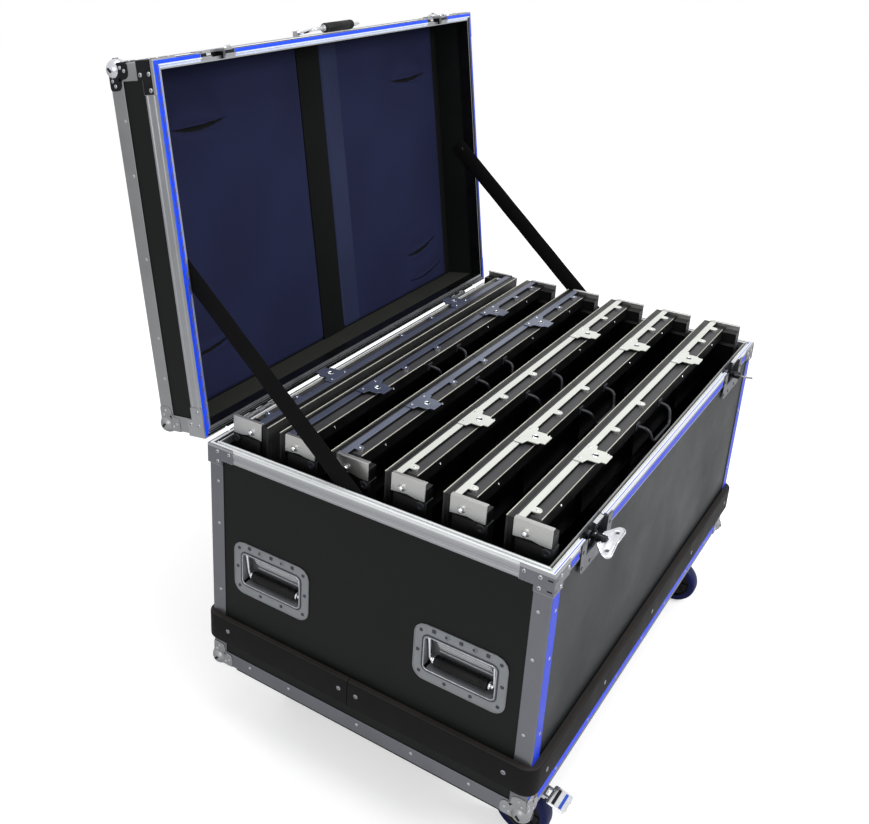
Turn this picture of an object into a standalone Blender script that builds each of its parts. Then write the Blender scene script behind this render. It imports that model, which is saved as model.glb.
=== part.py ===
"""Flight case on casters for six LED screen cabinets, its lid held open by two stay straps.

Run with: blender --background --python part.py
Units are metres and +Z is up. The floor is z = 0, the middle of the case is x = y = 0,
the latched front faces -Y, the lid is hinged at the back and the ends with the handles face -X and +X.
Every piece is one closed solid. The lid's pieces are drawn closed and hang on an empty at the hinge pin,
which is turned to the open position.
"""

import bmesh
import bpy
import math
from mathutils import Matrix, Vector

# Room left round the cabinets, which set the case's length, depth and height, and the lid
END_ROOM = 0.0262
SIDE_ROOM = 0.0067
CABINET_RISE = 0.0444
LID_DEPTH = 0.105
LID_OPEN_ANGLE = math.radians(98.1)

# Clearances
SEAT_GAP = 0.0003
RUNNING_GAP = 0.0006
PARTING_GAP = 0.0008
CUT_OVERRUN = 0.002
FUSE_DEPTH = 0.0005

# Panels, edge angles and rim extrusions
PANEL = 0.012
ANGLE_WIDTH = 0.030
ANGLE_WALL = 0.0015
RIM_HEIGHT = 0.027
RIM_WALL = 0.0015
RIM_WEB = 0.0045
RIM_LIP = 0.014
RIDGE = 0.0012
RIDGE_LEVEL_SHARES = (0.22, 0.28, 0.50, 0.56, 0.78, 0.84)
GROOVE_INSET = 0.0055
GROOVE_WIDTH = 0.0045
GROOVE_DEPTH = 0.0032
TONGUE_WIDTH = 0.0025
TONGUE_HEIGHT = 0.0025

# Rim corner braces and ball corners
BRACE_REACH = 0.054
BRACE_DROP = 0.038
BRACE_THICKNESS = 0.0024
BALL_RADIUS = 0.018
BALL_INSET = 0.010
BALL_STEPS = 8
BALL_RINGS = 6
BALL_LEG = 0.045
BALL_LEG_WIDTH = 0.026
BALL_LEG_TAPER = 0.008
BALL_PLATE = 0.0015

# Bumper strip round the base
BUMPER_LOW = 0.061
BUMPER_HEIGHT = 0.055
BUMPER_THICKNESS = 0.012
BUMPER_RADIUS = 0.026
BUMPER_EDGE = 0.004
BUMPER_CORNER_STEPS = 4
BUMPER_INNER_RADIUS = 0.0006
BUMPER_SPLIT = 0.0012
BUMPER_SPLIT_Y = 0.012

# Caster boards and casters
BOARD_THICKNESS = 0.012
BOARD_END_INSET = 0.010
BOARD_SIDE_INSET = 0.0275
BOARD_LENGTH = 0.170
BOARD_NOTCH_X = 0.018
BOARD_NOTCH_Y = 0.019
CASTER_END_INSET = 0.124
CASTER_SIDE_INSET = 0.0825
CASTER_TRAIL = 0.034
CASTER_PLATE_LENGTH = 0.105
CASTER_PLATE_WIDTH = 0.085
CASTER_PLATE = 0.003
CASTER_PLATE_RADIUS = 0.010
CASTER_BOLT_X = 0.040
CASTER_BOLT_Y = 0.032
CASTER_BOLT_RADIUS = 0.0052
CASTER_BOLT_HEIGHT = 0.0036
RACE_RADIUS = 0.030
RACE_HEIGHT = 0.009
CROWN_RADIUS = 0.030
CROWN_HEIGHT = 0.008
KINGPIN_RADIUS = 0.006
KINGPIN_HEAD_RADIUS = 0.011
KINGPIN_HEAD = 0.004
FORK_HEADROOM = 0.0171
FORK_GAP = 0.0365
FORK_LEG = 0.004
FORK_LEG_TOP = 0.052
FORK_LEG_FOOT = 0.026
FORK_FOOT_DROP = 0.011
FORK_EAR_OUT = 0.053
FORK_EAR_LOW_RISE = 0.003
FORK_EAR_HIGH_RISE = 0.014
WHEEL_RADIUS = 0.050
WHEEL_WIDTH = 0.032
TREAD_CROWN = 0.0022
TREAD_EDGE = 0.004
TREAD_DEPTH = 0.014
WHEEL_BORE = 0.0066
AXLE_RADIUS = 0.006
AXLE_HEAD_RADIUS = 0.0095
AXLE_HEAD = 0.005
HUB_RADIUS = 0.014
WHEEL_DISH = 0.006
WHEEL_STEPS = 20
ROUND_STEPS = 12
BOLT_SIDES = 6

# Brake pedals on the two casters at the -X end
PEDAL_PIVOT_OUT = 0.0475
PEDAL_PIVOT_RISE = 0.0085
PEDAL_PIVOT_RADIUS = 0.0032
PEDAL_SLEEVE = 0.0052
PEDAL_ARM_WIDTH = 0.026
PEDAL_PLATE_WIDTH = 0.046
PEDAL_PLATE = 0.003
PEDAL_START = 0.078
PEDAL_END = 0.112
PEDAL_START_RISE = 0.0065
PEDAL_END_RISE = -0.0010
CASTER_TURNS = {("left", "back"): math.radians(90.0)}
PEDAL_SHOE_OUT = 0.066
PEDAL_SHOE_DROP = 0.0105
PEDAL_SHOE_LENGTH = 0.010

# Recessed spring handles, two on each end
DISH_SIDE_INSET = 0.1375
DISH_MID = 0.2415
DISH_WIDTH = 0.168
DISH_HEIGHT = 0.110
DISH_CORNER = 0.022
DISH_PLATE = 0.0012
DISH_OPENING_WIDTH = 0.126
DISH_OPENING_HEIGHT = 0.063
DISH_OPENING_CORNER = 0.009
DISH_DEPTH = 0.0265
DISH_SHELF = 0.0105
DISH_SLOPE_FOOT_SHARE = 0.53
DISH_RIBS = 4
DISH_RIB = 0.0016
DISH_RIB_LENGTH_SHARE = 0.72
DISH_BEAD = 0.003
DISH_BEAD_RAISE = 0.0010
PANEL_HOLE_GAP = 0.001
CORNER_STEPS = 3

# Handle bails and grips
BAIL_ROD = 0.0032
BAIL_SIDES = 6
BAIL_DROP = 0.0425
BAIL_SPAN = 0.117
BAIL_PIVOT_DEPTH = 0.006
BAIL_REST_DEPTH = 0.0125
GRIP_RADIUS = 0.0125
GRIP_LENGTH = 0.098
GRIP_EDGE = 0.003
COLLAR_RADIUS = 0.007
COLLAR_LENGTH = 0.004
GRIP_STEPS = 10

# Twist latches in the front of the base, keepers in the front of the lid
LATCH_END_INSET = 0.159
LATCH_WIDTH = 0.126
LATCH_HEIGHT = 0.057
LATCH_CORNER = 0.014
LATCH_PLATE = 0.0015
LATCH_TOP_GAP = 0.0008
LATCH_TUB_WIDTH = 0.088
LATCH_TUB_HEIGHT = 0.030
LATCH_TUB_WALL = 0.0012
LATCH_CUT_GAP = 0.0010
LATCH_SCREW = 0.0030
LATCH_SCREW_RAISE = 0.0010
LATCH_SCREW_SHARES = ((-0.86, 0.30), (-0.86, 0.80), (-0.35, 0.84), (0.35, 0.84), (0.86, 0.80), (0.86, 0.30))
SPINDLE_DROP = 0.0185
SPINDLE_RADIUS = 0.004
SPINDLE_HOUSING = 0.0072
SPINDLE_HOUSING_DEPTH = 0.004
SPINDLE_HEAD = 0.0075
SPINDLE_HEAD_START = 0.0018
SPINDLE_HEAD_END = 0.0185
HOOK_PIVOT_DROP = 0.0225
HOOK_PIVOT_INSET = 0.0068
HOOK_PIN = 0.0015
HOOK_BORE = 0.0019
HOOK_KNUCKLE = 0.0034
HOOK_HALF_WIDTH = 0.015
HOOK_WINDOW = 0.009
HOOK_WINDOW_TOP = -0.0095
HOOK_TOP = 0.0150
HOOK_PLATE = 0.0024
HOOK_LIP = 0.0040
HOOK_LIP_HEIGHT = 0.0020
HOOK_TILT = math.radians(15.0)
HOOK_LUG = 0.003
HOOK_LUG_GAP = 0.0006
WING_PLATE = 0.0032
WING_NOTCH = 0.0085
WING_NOTCH_END = 0.0195
WING_ROOT = 0.0075
WING_ROOT_HALF = 0.0160
WING_LOBE = 0.009
WING_LOBE_ALONG = 0.0275
WING_LOBE_OUT = 0.0285
WING_WAIST_OUT = 0.0355
WING_HOLE = 0.0034
WING_HOLE_ALONG = 0.0215
WING_HOLE_OUT = 0.0265
WING_PIN = 0.0020
WING_PIN_OUT = 0.0115
WING_REST_TURNS = {-1: math.radians(13.0), 1: math.radians(-22.0)}
KEEPER_WIDTH = 0.080
KEEPER_PLATE = 0.0015
KEEPER_LOW = 0.0006
KEEPER_HIGH = 0.0262
KEEPER_WINDOW = 0.0185
KEEPER_WINDOW_HEIGHT = 0.020
KEEPER_LEDGE_LOW = 0.0095
KEEPER_LEDGE_HIGH = 0.0125
KEEPER_LEDGE_INSET = 0.0092

# Butt hinges on the back
HINGE_END_INSET = 0.155
HINGE_LENGTH = 0.090
HINGE_LEAF = 0.002
HINGE_LEAF_HEIGHT = 0.036
HINGE_PIN_RADIUS = 0.0026
HINGE_BORE_RADIUS = 0.0030
HINGE_KNUCKLE_RADIUS = 0.0052
HINGE_AXIS_OUT = 0.0066
HINGE_LEAF_GAP = 0.0006
HINGE_TAB_REACH = 0.0030
HINGE_KNUCKLES = 5
HINGE_STEPS = 10

# Lid: handle and lining
LID_HANDLE_MARGIN = 0.009
LID_HANDLE_WIDTH = 0.026
LID_HANDLE_PLATE = 0.002
LID_HANDLE_LEVEL = 0.051
LID_HANDLE_EAR = 0.006
LID_HANDLE_EAR_GAP = 0.0006
LID_HANDLE_EAR_OUT = 0.0125
LID_HANDLE_BORE = 0.0040
LID_HANDLE_PIVOT_OUT = 0.0068
LID_HANDLE_DROP = 0.040
LID_HANDLE_GRIP_OUT = 0.0125
LID_HANDLE_SPAN = 0.158
LID_HANDLE_ROD = 0.0034
LID_GRIP_RADIUS = 0.0105
LID_GRIP_LENGTH = 0.104
LINING_BOARD = 0.002
LINING_PAD = 0.006
LINING_STRIP_WIDTH = 0.078
LINING_STRIP_X = -0.0105
LINING_GAP = 0.0012
LINING_EDGE = 0.012
LINING_CORNER = 0.030

# Stay straps
STRAP_WIDTH = 0.038
STRAP_THICKNESS = 0.002
STRAP_FOOT_Y = 0.010
STRAP_FOOT_DROP = 0.0275
STRAP_LID_REACH = 0.334
STRAP_LID_LEVEL = 0.033
STRAP_PLATE = 0.018

# Slot racks and floor pad
CABINET_COUNT = 6
CABINET_PITCH = 0.107
CABINET_SHIFT = 0.001
PAIR_SHIFT = 0.0025
FLOOR_PAD = 0.008
RACK_BOARD = 0.006
RACK_DROP = 0.052
RACK_RIB = 0.022
RACK_REACH = 0.080
RACK_CHAMFER = 0.020
RACK_WINDOW_GAP = 0.0015
RACK_END_GAP = 0.004

# LED cabinets
CABINET_LENGTH = 1.000
CABINET_HEIGHT = 0.500
CABINET_DEPTH = 0.079
CABINET_MODULE = 0.012
CABINET_INSET = 0.0015
CABINET_FLANGE = 0.015
CABINET_LEDGE = 0.020
CABINET_STEP = 0.006
CABINET_BEAM = 0.024
CABINET_FLOOR_BEAM = 0.024
CABINET_BACK_SKIN = 0.006
CABINET_END_WIDTH = 0.063
CABINET_END_HEIGHT = 0.032
CABINET_END_PLATE = 0.002
LOCK_PLACE_SHARE = 0.25
LOCK_LENGTH = 0.056
LOCK_TONGUE = 0.034
LOCK_START = 0.016
LOCK_END = 0.068
LOCK_PLATE = 0.003
LOCK_HOLE = 0.0055
LOCK_HOLE_BACK = 0.041
LOCK_CORNER = 0.010
TAB_RADIUS = 0.0075
TAB_HEIGHT = 0.004
TAB_BACK = 0.032
TAB_PLACE_SHARES = (-0.922, -0.266, -0.010, 0.740, 0.910)
STUD_RADIUS = 0.0045
STUD_REACH = 0.010
STUD_BACK = 0.0345
STUD_DROP = 0.027
CARRY_SPAN = 0.130
CARRY_ROD = 0.004
CARRY_DROP = 0.020
CARRY_OUT = 0.019
CARRY_SLANT = 0.010
HUB_LENGTH = 0.300
HUB_HEIGHT = 0.180
HUB_DEPTH = 0.026
HUB_LEVEL = 0.160

# Worked out from the sizes above
PANEL_INSET = ANGLE_WALL + SEAT_GAP
WALL_INSET = PANEL_INSET + PANEL
RIM_WIDTH = WALL_INSET + SEAT_GAP + RIM_WALL
CABINETS_HALF = ((CABINET_COUNT - 1) * CABINET_PITCH + CABINET_DEPTH) / 2
INNER_X = CABINET_LENGTH / 2 + END_ROOM
INNER_Y = CABINETS_HALF + SIDE_ROOM
HALF_X = INNER_X + WALL_INSET
HALF_Y = INNER_Y + WALL_INSET
WHEEL_TOP = 2 * WHEEL_RADIUS
PEDAL_PIVOT_LEVEL = WHEEL_TOP + PEDAL_PIVOT_RISE
CASTER_HEAD = CROWN_HEIGHT + RUNNING_GAP + RACE_HEIGHT + CASTER_PLATE + SEAT_GAP
CASTER_HEIGHT = WHEEL_TOP + FORK_HEADROOM + CASTER_HEAD
BASE_Z = CASTER_HEIGHT + BOARD_THICKNESS + SEAT_GAP
FLOOR_Z = BASE_Z + PANEL_INSET + PANEL
PAD_TOP = FLOOR_Z + SEAT_GAP + FLOOR_PAD
CABINET_Z = PAD_TOP + SEAT_GAP
RIM_Z = CABINET_Z + CABINET_HEIGHT - CABINET_RISE
LID_Z = RIM_Z + PARTING_GAP
LID_TOP = LID_Z + LID_DEPTH
PANEL_TOP = RIM_Z - RIM_WEB - SEAT_GAP
CASTER_X = HALF_X - CASTER_END_INSET
CASTER_Y = HALF_Y - CASTER_SIDE_INSET
DISH_Y = HALF_Y - DISH_SIDE_INSET
LATCH_X = HALF_X - LATCH_END_INSET
HINGE_X = HALF_X - HINGE_END_INSET
STRAP_FOOT_Z = RIM_Z - STRAP_FOOT_DROP
HINGE_AXIS = Vector((0, HALF_Y + HINGE_AXIS_OUT, RIM_Z + PARTING_GAP / 2))


# Meshes


def mesh_from(verts, faces):
    """A closed mesh with its faces turned outwards."""
    mesh = bpy.data.meshes.new("solid")
    mesh.from_pydata([tuple(v) for v in verts], [], faces)
    bm = bmesh.new()
    bm.from_mesh(mesh)
    bmesh.ops.recalc_face_normals(bm, faces=bm.faces)
    bm.to_mesh(mesh)
    bm.free()
    return mesh


def block(x, y, z):
    """A box between the two ends given for each axis."""
    (x0, x1), (y0, y1), (z0, z1) = sorted(x), sorted(y), sorted(z)
    verts = [(a, b, c) for c in (z0, z1) for b in (y0, y1) for a in (x0, x1)]
    faces = [(0, 2, 3, 1), (4, 5, 7, 6), (0, 1, 5, 4), (2, 6, 7, 3), (0, 4, 6, 2), (1, 3, 7, 5)]
    return mesh_from(verts, faces)


def prism(outline, ends, axis):
    """An outline drawn across an axis and run along it. For x it is (y, z), for y (x, z), for z (x, y)."""
    place = {
        "x": lambda a, b, t: (t, a, b),
        "y": lambda a, b, t: (a, t, b),
        "z": lambda a, b, t: (a, b, t),
    }[axis]
    count = len(outline)
    verts = [place(a, b, t) for t in ends for a, b in outline]
    faces = [tuple(range(count)), tuple(range(count, 2 * count))]
    for i in range(count):
        j = (i + 1) % count
        faces.append((i, j, count + j, count + i))
    return mesh_from(verts, faces)


def arc(centre, radius, start, end, steps):
    """Points on an arc, its angles in degrees."""
    points = []
    for i in range(steps + 1):
        angle = math.radians(start + (end - start) * i / steps)
        points.append((centre[0] + radius * math.cos(angle), centre[1] + radius * math.sin(angle)))
    return points


def rounded_box(half_a, half_b, radius, mid=(0, 0), steps=CORNER_STEPS):
    """The outline of a rectangle with round corners."""
    points = []
    for turn, (side_a, side_b) in enumerate(((1, 1), (-1, 1), (-1, -1), (1, -1))):
        centre = (mid[0] + side_a * (half_a - radius), mid[1] + side_b * (half_b - radius))
        points += arc(centre, radius, 90 * turn, 90 * turn + 90, steps)
    return points


def turned(profile, centre, axis, steps):
    """A closed profile of (radius, along) points turned round an axis through centre."""
    verts, rings = [], []
    for radius, along in profile:
        if radius == 0:
            rings.append([len(verts)])
            verts.append((0, 0, along))
            continue
        rings.append(list(range(len(verts), len(verts) + steps)))
        for i in range(steps):
            angle = 2 * math.pi * i / steps
            verts.append((radius * math.cos(angle), radius * math.sin(angle), along))
    faces = []
    for i, low in enumerate(rings):
        high = rings[(i + 1) % len(rings)]
        if len(low) == 1 and len(high) == 1:
            continue
        for k in range(steps):
            n = (k + 1) % steps
            corners = [low[k % len(low)], low[n % len(low)], high[n % len(high)], high[k % len(high)]]
            faces.append(tuple(dict.fromkeys(corners)))
    mesh = mesh_from(verts, faces)
    turn = Vector((0, 0, 1)).rotation_difference(Vector(axis)).to_matrix().to_4x4()
    mesh.transform(Matrix.Translation(centre) @ turn)
    return mesh


def cylinder(radius, ends, centre, axis, steps=ROUND_STEPS):
    """A plain round bar, from one end to the other along its axis."""
    low, high = ends
    return turned([(0, low), (radius, low), (radius, high), (0, high)], centre, axis, steps)


def tube(path, radius, sides):
    """A rod along a path of points, mitred where it turns and flat at both ends."""
    path = [Vector(p) for p in path]
    verts, faces = [], []
    first = (path[1] - path[0]).normalized()
    side = first.orthogonal().normalized()
    for i, point in enumerate(path):
        before = (point - path[i - 1]).normalized() if i else first
        after = (path[i + 1] - point).normalized() if i + 1 < len(path) else before
        along = (before + after).normalized()
        side = (side - along * side.dot(along)).normalized()
        up = along.cross(side)
        bend = (before - after).normalized() if (before - after).length > SEAT_GAP else side
        stretch = 1 / max(along.dot(before), SEAT_GAP)
        for k in range(sides):
            angle = 2 * math.pi * k / sides
            offset = side * math.cos(angle) + up * math.sin(angle)
            offset += bend * offset.dot(bend) * (stretch - 1)
            verts.append(point + offset * radius)
    for i in range(len(path) - 1):
        for k in range(sides):
            n = (k + 1) % sides
            a, b = i * sides, (i + 1) * sides
            faces.append((a + k, a + n, b + n, b + k))
    faces.append(tuple(range(sides)))
    faces.append(tuple(range(len(verts) - sides, len(verts))))
    return mesh_from(verts, faces)


def ring(profile, half_x, half_y, steps=0):
    """A closed profile of (inset, z, corner radius) run round a rectangle, its corners mitred or round."""
    verts, faces = [], []
    for inset, level, radius in profile:
        hx, hy = half_x - inset, half_y - inset
        if steps:
            loop = rounded_box(hx, hy, radius, steps=steps)
        else:
            loop = [(hx, hy), (-hx, hy), (-hx, -hy), (hx, -hy)]
        verts += [(a, b, level) for a, b in loop]
    count = len(verts) // len(profile)
    for i in range(len(profile)):
        j = (i + 1) % len(profile)
        for k in range(count):
            n = (k + 1) % count
            faces.append((i * count + k, i * count + n, j * count + n, j * count + k))
    return mesh_from(verts, faces)


def moved(mesh, matrix):
    """A copy of a mesh, placed by a matrix and still facing outwards."""
    copy = mesh.copy()
    copy.transform(matrix)
    if matrix.determinant() < 0:
        copy.flip_normals()
    return copy


def mirrored(mesh, x=1, y=1, z=1, about=(0, 0, 0)):
    """A copy of a mesh mirrored in the planes whose sign is -1."""
    centre = Vector(about)
    flip = Matrix.Diagonal((x, y, z, 1))
    return moved(mesh, Matrix.Translation(centre) @ flip @ Matrix.Translation(-centre))


def boolean(mesh, tool, operation):
    """The mesh with one tool joined to it or cut out of it."""
    work = bpy.data.objects.new("work", mesh)
    other = bpy.data.objects.new("tool", tool)
    for item in (work, other):
        bpy.context.scene.collection.objects.link(item)
    modifier = work.modifiers.new("boolean", "BOOLEAN")
    modifier.operation = operation
    modifier.object = other
    modifier.solver = "EXACT"
    graph = bpy.context.evaluated_depsgraph_get()
    result = bpy.data.meshes.new_from_object(work.evaluated_get(graph))
    for item in (work, other):
        bpy.data.objects.remove(item)
    return result


def joined(mesh, *others):
    """One solid made of several that overlap."""
    for other in others:
        mesh = boolean(mesh, other, "UNION")
    return mesh


def carved(mesh, *cutters):
    """A solid with cutters taken out of it."""
    for cutter in cutters:
        mesh = boolean(mesh, cutter, "DIFFERENCE")
    return mesh


def simplified(mesh):
    """The mesh with its flat faces merged again after Boolean work."""
    bm = bmesh.new()
    bm.from_mesh(mesh)
    bmesh.ops.remove_doubles(bm, verts=bm.verts, dist=SEAT_GAP / 100)
    bmesh.ops.dissolve_limit(bm, angle_limit=math.radians(0.2), verts=bm.verts, edges=bm.edges)
    bmesh.ops.triangulate(bm, faces=[f for f in bm.faces if len(f.verts) > 4])
    bm.to_mesh(mesh)
    bm.free()
    return mesh


# Objects and materials

MATERIALS = {
    "laminate": ((0.014, 0.015, 0.016), 0.45, 0.0),
    "aluminium": ((0.52, 0.54, 0.57), 0.38, 1.0),
    "zinc": ((0.60, 0.61, 0.63), 0.28, 1.0),
    "rubber": ((0.020, 0.019, 0.020), 0.70, 0.0),
    "plywood": ((0.030, 0.027, 0.025), 0.80, 0.0),
    "foam": ((0.010, 0.010, 0.011), 0.95, 0.0),
    "lining": ((0.020, 0.026, 0.085), 0.85, 0.0),
    "webbing": ((0.012, 0.012, 0.013), 0.90, 0.0),
    "grip": ((0.012, 0.012, 0.013), 0.55, 0.0),
    "caster_steel": ((0.55, 0.57, 0.60), 0.30, 1.0),
    "wheel": ((0.020, 0.060, 0.40), 0.50, 0.0),
    "cabinet": ((0.016, 0.017, 0.018), 0.50, 0.2),
}


def material(name):
    """The named Principled material, made once."""
    if name in bpy.data.materials:
        return bpy.data.materials[name]
    colour, roughness, metallic = MATERIALS[name]
    made = bpy.data.materials.new(name)
    made.use_nodes = True
    shader = made.node_tree.nodes["Principled BSDF"]
    shader.inputs["Base Color"].default_value = (*colour, 1)
    shader.inputs["Roughness"].default_value = roughness
    shader.inputs["Metallic"].default_value = metallic
    made.diffuse_color = (*colour, 1)
    return made


def add(name, mesh, slot, pivot=(0, 0, 0), parent=None, smooth=False):
    """Puts a mesh drawn in the case's frame in the scene, with its origin at its pivot."""
    mesh = simplified(mesh)
    mesh.name = name
    pivot = Vector(pivot)
    mesh.transform(Matrix.Translation(-pivot))
    mesh.materials.clear()
    mesh.materials.append(material(slot))
    if smooth:
        mesh.shade_smooth()
        mesh.set_sharp_from_angle(angle=math.radians(35))
    else:
        mesh.shade_flat()
    item = bpy.data.objects.new(name, mesh)
    bpy.context.scene.collection.objects.link(item)
    if parent:
        item.parent = parent
        item.location = pivot - HINGE_AXIS
    else:
        item.location = pivot
    return item


# Shells of the base


def base_panels():
    """Five laminated plywood panels, with openings for the handle dishes in the two ends."""
    outer_x, outer_y = HALF_X - PANEL_INSET, HALF_Y - PANEL_INSET
    low = BASE_Z + PANEL_INSET
    back = block((-outer_x, outer_x), (outer_y, INNER_Y), (low, PANEL_TOP))
    add("back_panel", back, "laminate")
    front = block((-outer_x, outer_x), (-outer_y, -INNER_Y), (low, PANEL_TOP))
    cuts = [latch_cut(side, INNER_Y - CUT_OVERRUN) for side in (-1, 1)]
    add("front_panel", carved(front, *cuts), "laminate")
    end_y = INNER_Y - SEAT_GAP
    for name, side in (("left_panel", -1), ("right_panel", 1)):
        mesh = block((side * outer_x, side * INNER_X), (-end_y, end_y), (low, PANEL_TOP))
        holes = [dish_box(side, place, PANEL_HOLE_GAP) for place in (-1, 1)]
        add(name, carved(mesh, *holes), "laminate")
    floor_x = INNER_X - SEAT_GAP
    add("bottom_panel", block((-floor_x, floor_x), (-end_y, end_y), (low, FLOOR_Z)), "laminate")


def angle_outline(width, wall, reach=0):
    """The L of an edge angle, its outer corner at the origin and its legs along +a and +b."""
    leg = [(-reach, -reach), (width, -reach), (width, wall), (wall, wall)]
    return leg + [(wall, width), (-reach, width)]


def corner_leg(axis):
    """One leg of a ball corner: an angle over the edge that leaves the origin along an axis."""
    outline = angle_outline(BALL_LEG_WIDTH, FUSE_DEPTH, BALL_PLATE)
    leg = prism(outline, (-BALL_PLATE, BALL_LEG), axis)
    past_end, past_side = BALL_LEG + CUT_OVERRUN, BALL_LEG_WIDTH + CUT_OVERRUN
    ends = [(BALL_LEG - BALL_LEG_TAPER, past_side), (past_end, past_side)]
    ends.append((past_end, past_side - BALL_LEG_TAPER - 2 * CUT_OVERRUN))
    deep = (-BALL_PLATE - CUT_OVERRUN, FUSE_DEPTH + CUT_OVERRUN)
    if axis == "x":
        cutters = [prism(ends, deep, "z"), prism(ends, deep, "y")]
    elif axis == "y":
        cutters = [prism([(b, a) for a, b in ends], deep, "z"), prism(ends, deep, "x")]
    else:
        swapped = [(b, a) for a, b in ends]
        cutters = [prism(swapped, deep, "y"), prism(swapped, deep, "x")]
    return carved(leg, *cutters)


def ball_corner():
    """A ball corner at the origin, its legs along +X, +Y and +Z."""
    profile = []
    for i in range(BALL_RINGS + 1):
        angle = math.pi * i / BALL_RINGS
        ring_radius = 0 if i in (0, BALL_RINGS) else BALL_RADIUS * math.sin(angle)
        profile.append((ring_radius, BALL_RADIUS * math.cos(angle)))
    ball = turned(profile, (BALL_INSET, BALL_INSET, BALL_INSET), (1, 1, 1), BALL_STEPS)
    inner = block(*[(ANGLE_WALL - SEAT_GAP, BALL_INSET + BALL_RADIUS + CUT_OVERRUN)] * 3)
    ball = carved(ball, inner)
    return joined(corner_leg("x"), corner_leg("y"), corner_leg("z"), ball)


def frame_corners(level, upward):
    """Four ball corners round a horizontal frame, opening upwards or downwards."""
    corner = ball_corner()
    made = []
    for side_x in (-1, 1):
        for side_y in (-1, 1):
            place = Matrix.Translation((side_x * HALF_X, side_y * HALF_Y, level))
            turn = Matrix.Diagonal((-side_x, -side_y, upward, 1))
            made.append(moved(corner, place @ turn))
    return made


def upright_angles(low, high):
    """Four upright edge angles at the corners of the case."""
    made = []
    outline = angle_outline(ANGLE_WIDTH, ANGLE_WALL)
    for side_x in (-1, 1):
        for side_y in (-1, 1):
            points = [(side_x * (HALF_X - a), side_y * (HALF_Y - b)) for a, b in outline]
            made.append(prism(points, (low, high), "z"))
    return made


def base_edge_frame():
    """The aluminium angles of the base's bottom and uprights, with the four bottom ball corners."""
    profile = [(a, BASE_Z + b, 0) for a, b in angle_outline(ANGLE_WIDTH, ANGLE_WALL)]
    mesh = ring(profile, HALF_X, HALF_Y)
    uprights = upright_angles(BASE_Z, RIM_Z - RIM_HEIGHT - SEAT_GAP)
    mesh = joined(mesh, *uprights, *frame_corners(BASE_Z, 1))
    add("base_edge_frame", mesh, "aluminium", smooth=True)


def rim_outer_side(level, sense):
    """The ridged outer side of a rim extrusion, from the parting line to its free edge."""
    points = [(0, level, 0)]
    for i, share in enumerate(RIDGE_LEVEL_SHARES):
        inset = -RIDGE if i % 4 in (1, 2) else 0
        points.append((inset, level + sense * RIM_HEIGHT * share, 0))
    points.append((0, level + sense * RIM_HEIGHT, 0))
    return points


def rim_inner_side(level, sense):
    """The channel that takes the panel, and the inner lip, back to the parting line."""
    web = level + sense * RIM_WEB
    return [
        (RIM_WALL, level + sense * RIM_HEIGHT, 0),
        (RIM_WALL, web, 0),
        (RIM_WIDTH - RIM_WALL, web, 0),
        (RIM_WIDTH - RIM_WALL, level + sense * RIM_LIP, 0),
        (RIM_WIDTH, level + sense * RIM_LIP, 0),
        (RIM_WIDTH, level, 0),
    ]


def corner_angle(side_x, side_y, reach, outer, inner):
    """The plan of an angle round an upright corner, between two distances outside the case."""
    far_x, far_y = side_x * (HALF_X + outer), side_y * (HALF_Y + outer)
    near_x, near_y = side_x * (HALF_X + inner), side_y * (HALF_Y + inner)
    end_x, end_y = side_x * (HALF_X - reach), side_y * (HALF_Y - reach)
    along_x = [(far_x, far_y), (end_x, far_y), (end_x, near_y)]
    return along_x + [(near_x, near_y), (near_x, end_y), (far_x, end_y)]


def rim_braces(level, sense):
    """The plates round the four corners of a rim, reaching along it and onto the upright angles."""
    made = []
    edge = level + sense * RIM_HEIGHT
    foot = level + sense * BRACE_DROP
    for side_x in (-1, 1):
        for side_y in (-1, 1):
            upper = corner_angle(side_x, side_y, BRACE_REACH, BRACE_THICKNESS, -FUSE_DEPTH)
            lower = corner_angle(side_x, side_y, ANGLE_WIDTH, BRACE_THICKNESS, SEAT_GAP)
            made.append(prism(upper, sorted((level, edge)), "z"))
            made.append(prism(lower, sorted((edge - sense * BRACE_THICKNESS, foot)), "z"))
    return made


def base_rim():
    """The base's rim extrusion, with the groove that takes the lid's tongue, and its corner braces."""
    groove_end = GROOVE_INSET + GROOVE_WIDTH
    profile = rim_outer_side(RIM_Z, -1) + rim_inner_side(RIM_Z, -1)
    profile += [
        (groove_end, RIM_Z, 0),
        (groove_end, RIM_Z - GROOVE_DEPTH, 0),
        (GROOVE_INSET, RIM_Z - GROOVE_DEPTH, 0),
        (GROOVE_INSET, RIM_Z, 0),
    ]
    mesh = joined(ring(profile, HALF_X, HALF_Y), *rim_braces(RIM_Z, -1))
    cuts = [latch_cut(side, HALF_Y - RIM_WIDTH + RIM_WALL) for side in (-1, 1)]
    add("base_rim", carved(mesh, *cuts), "aluminium")


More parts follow.
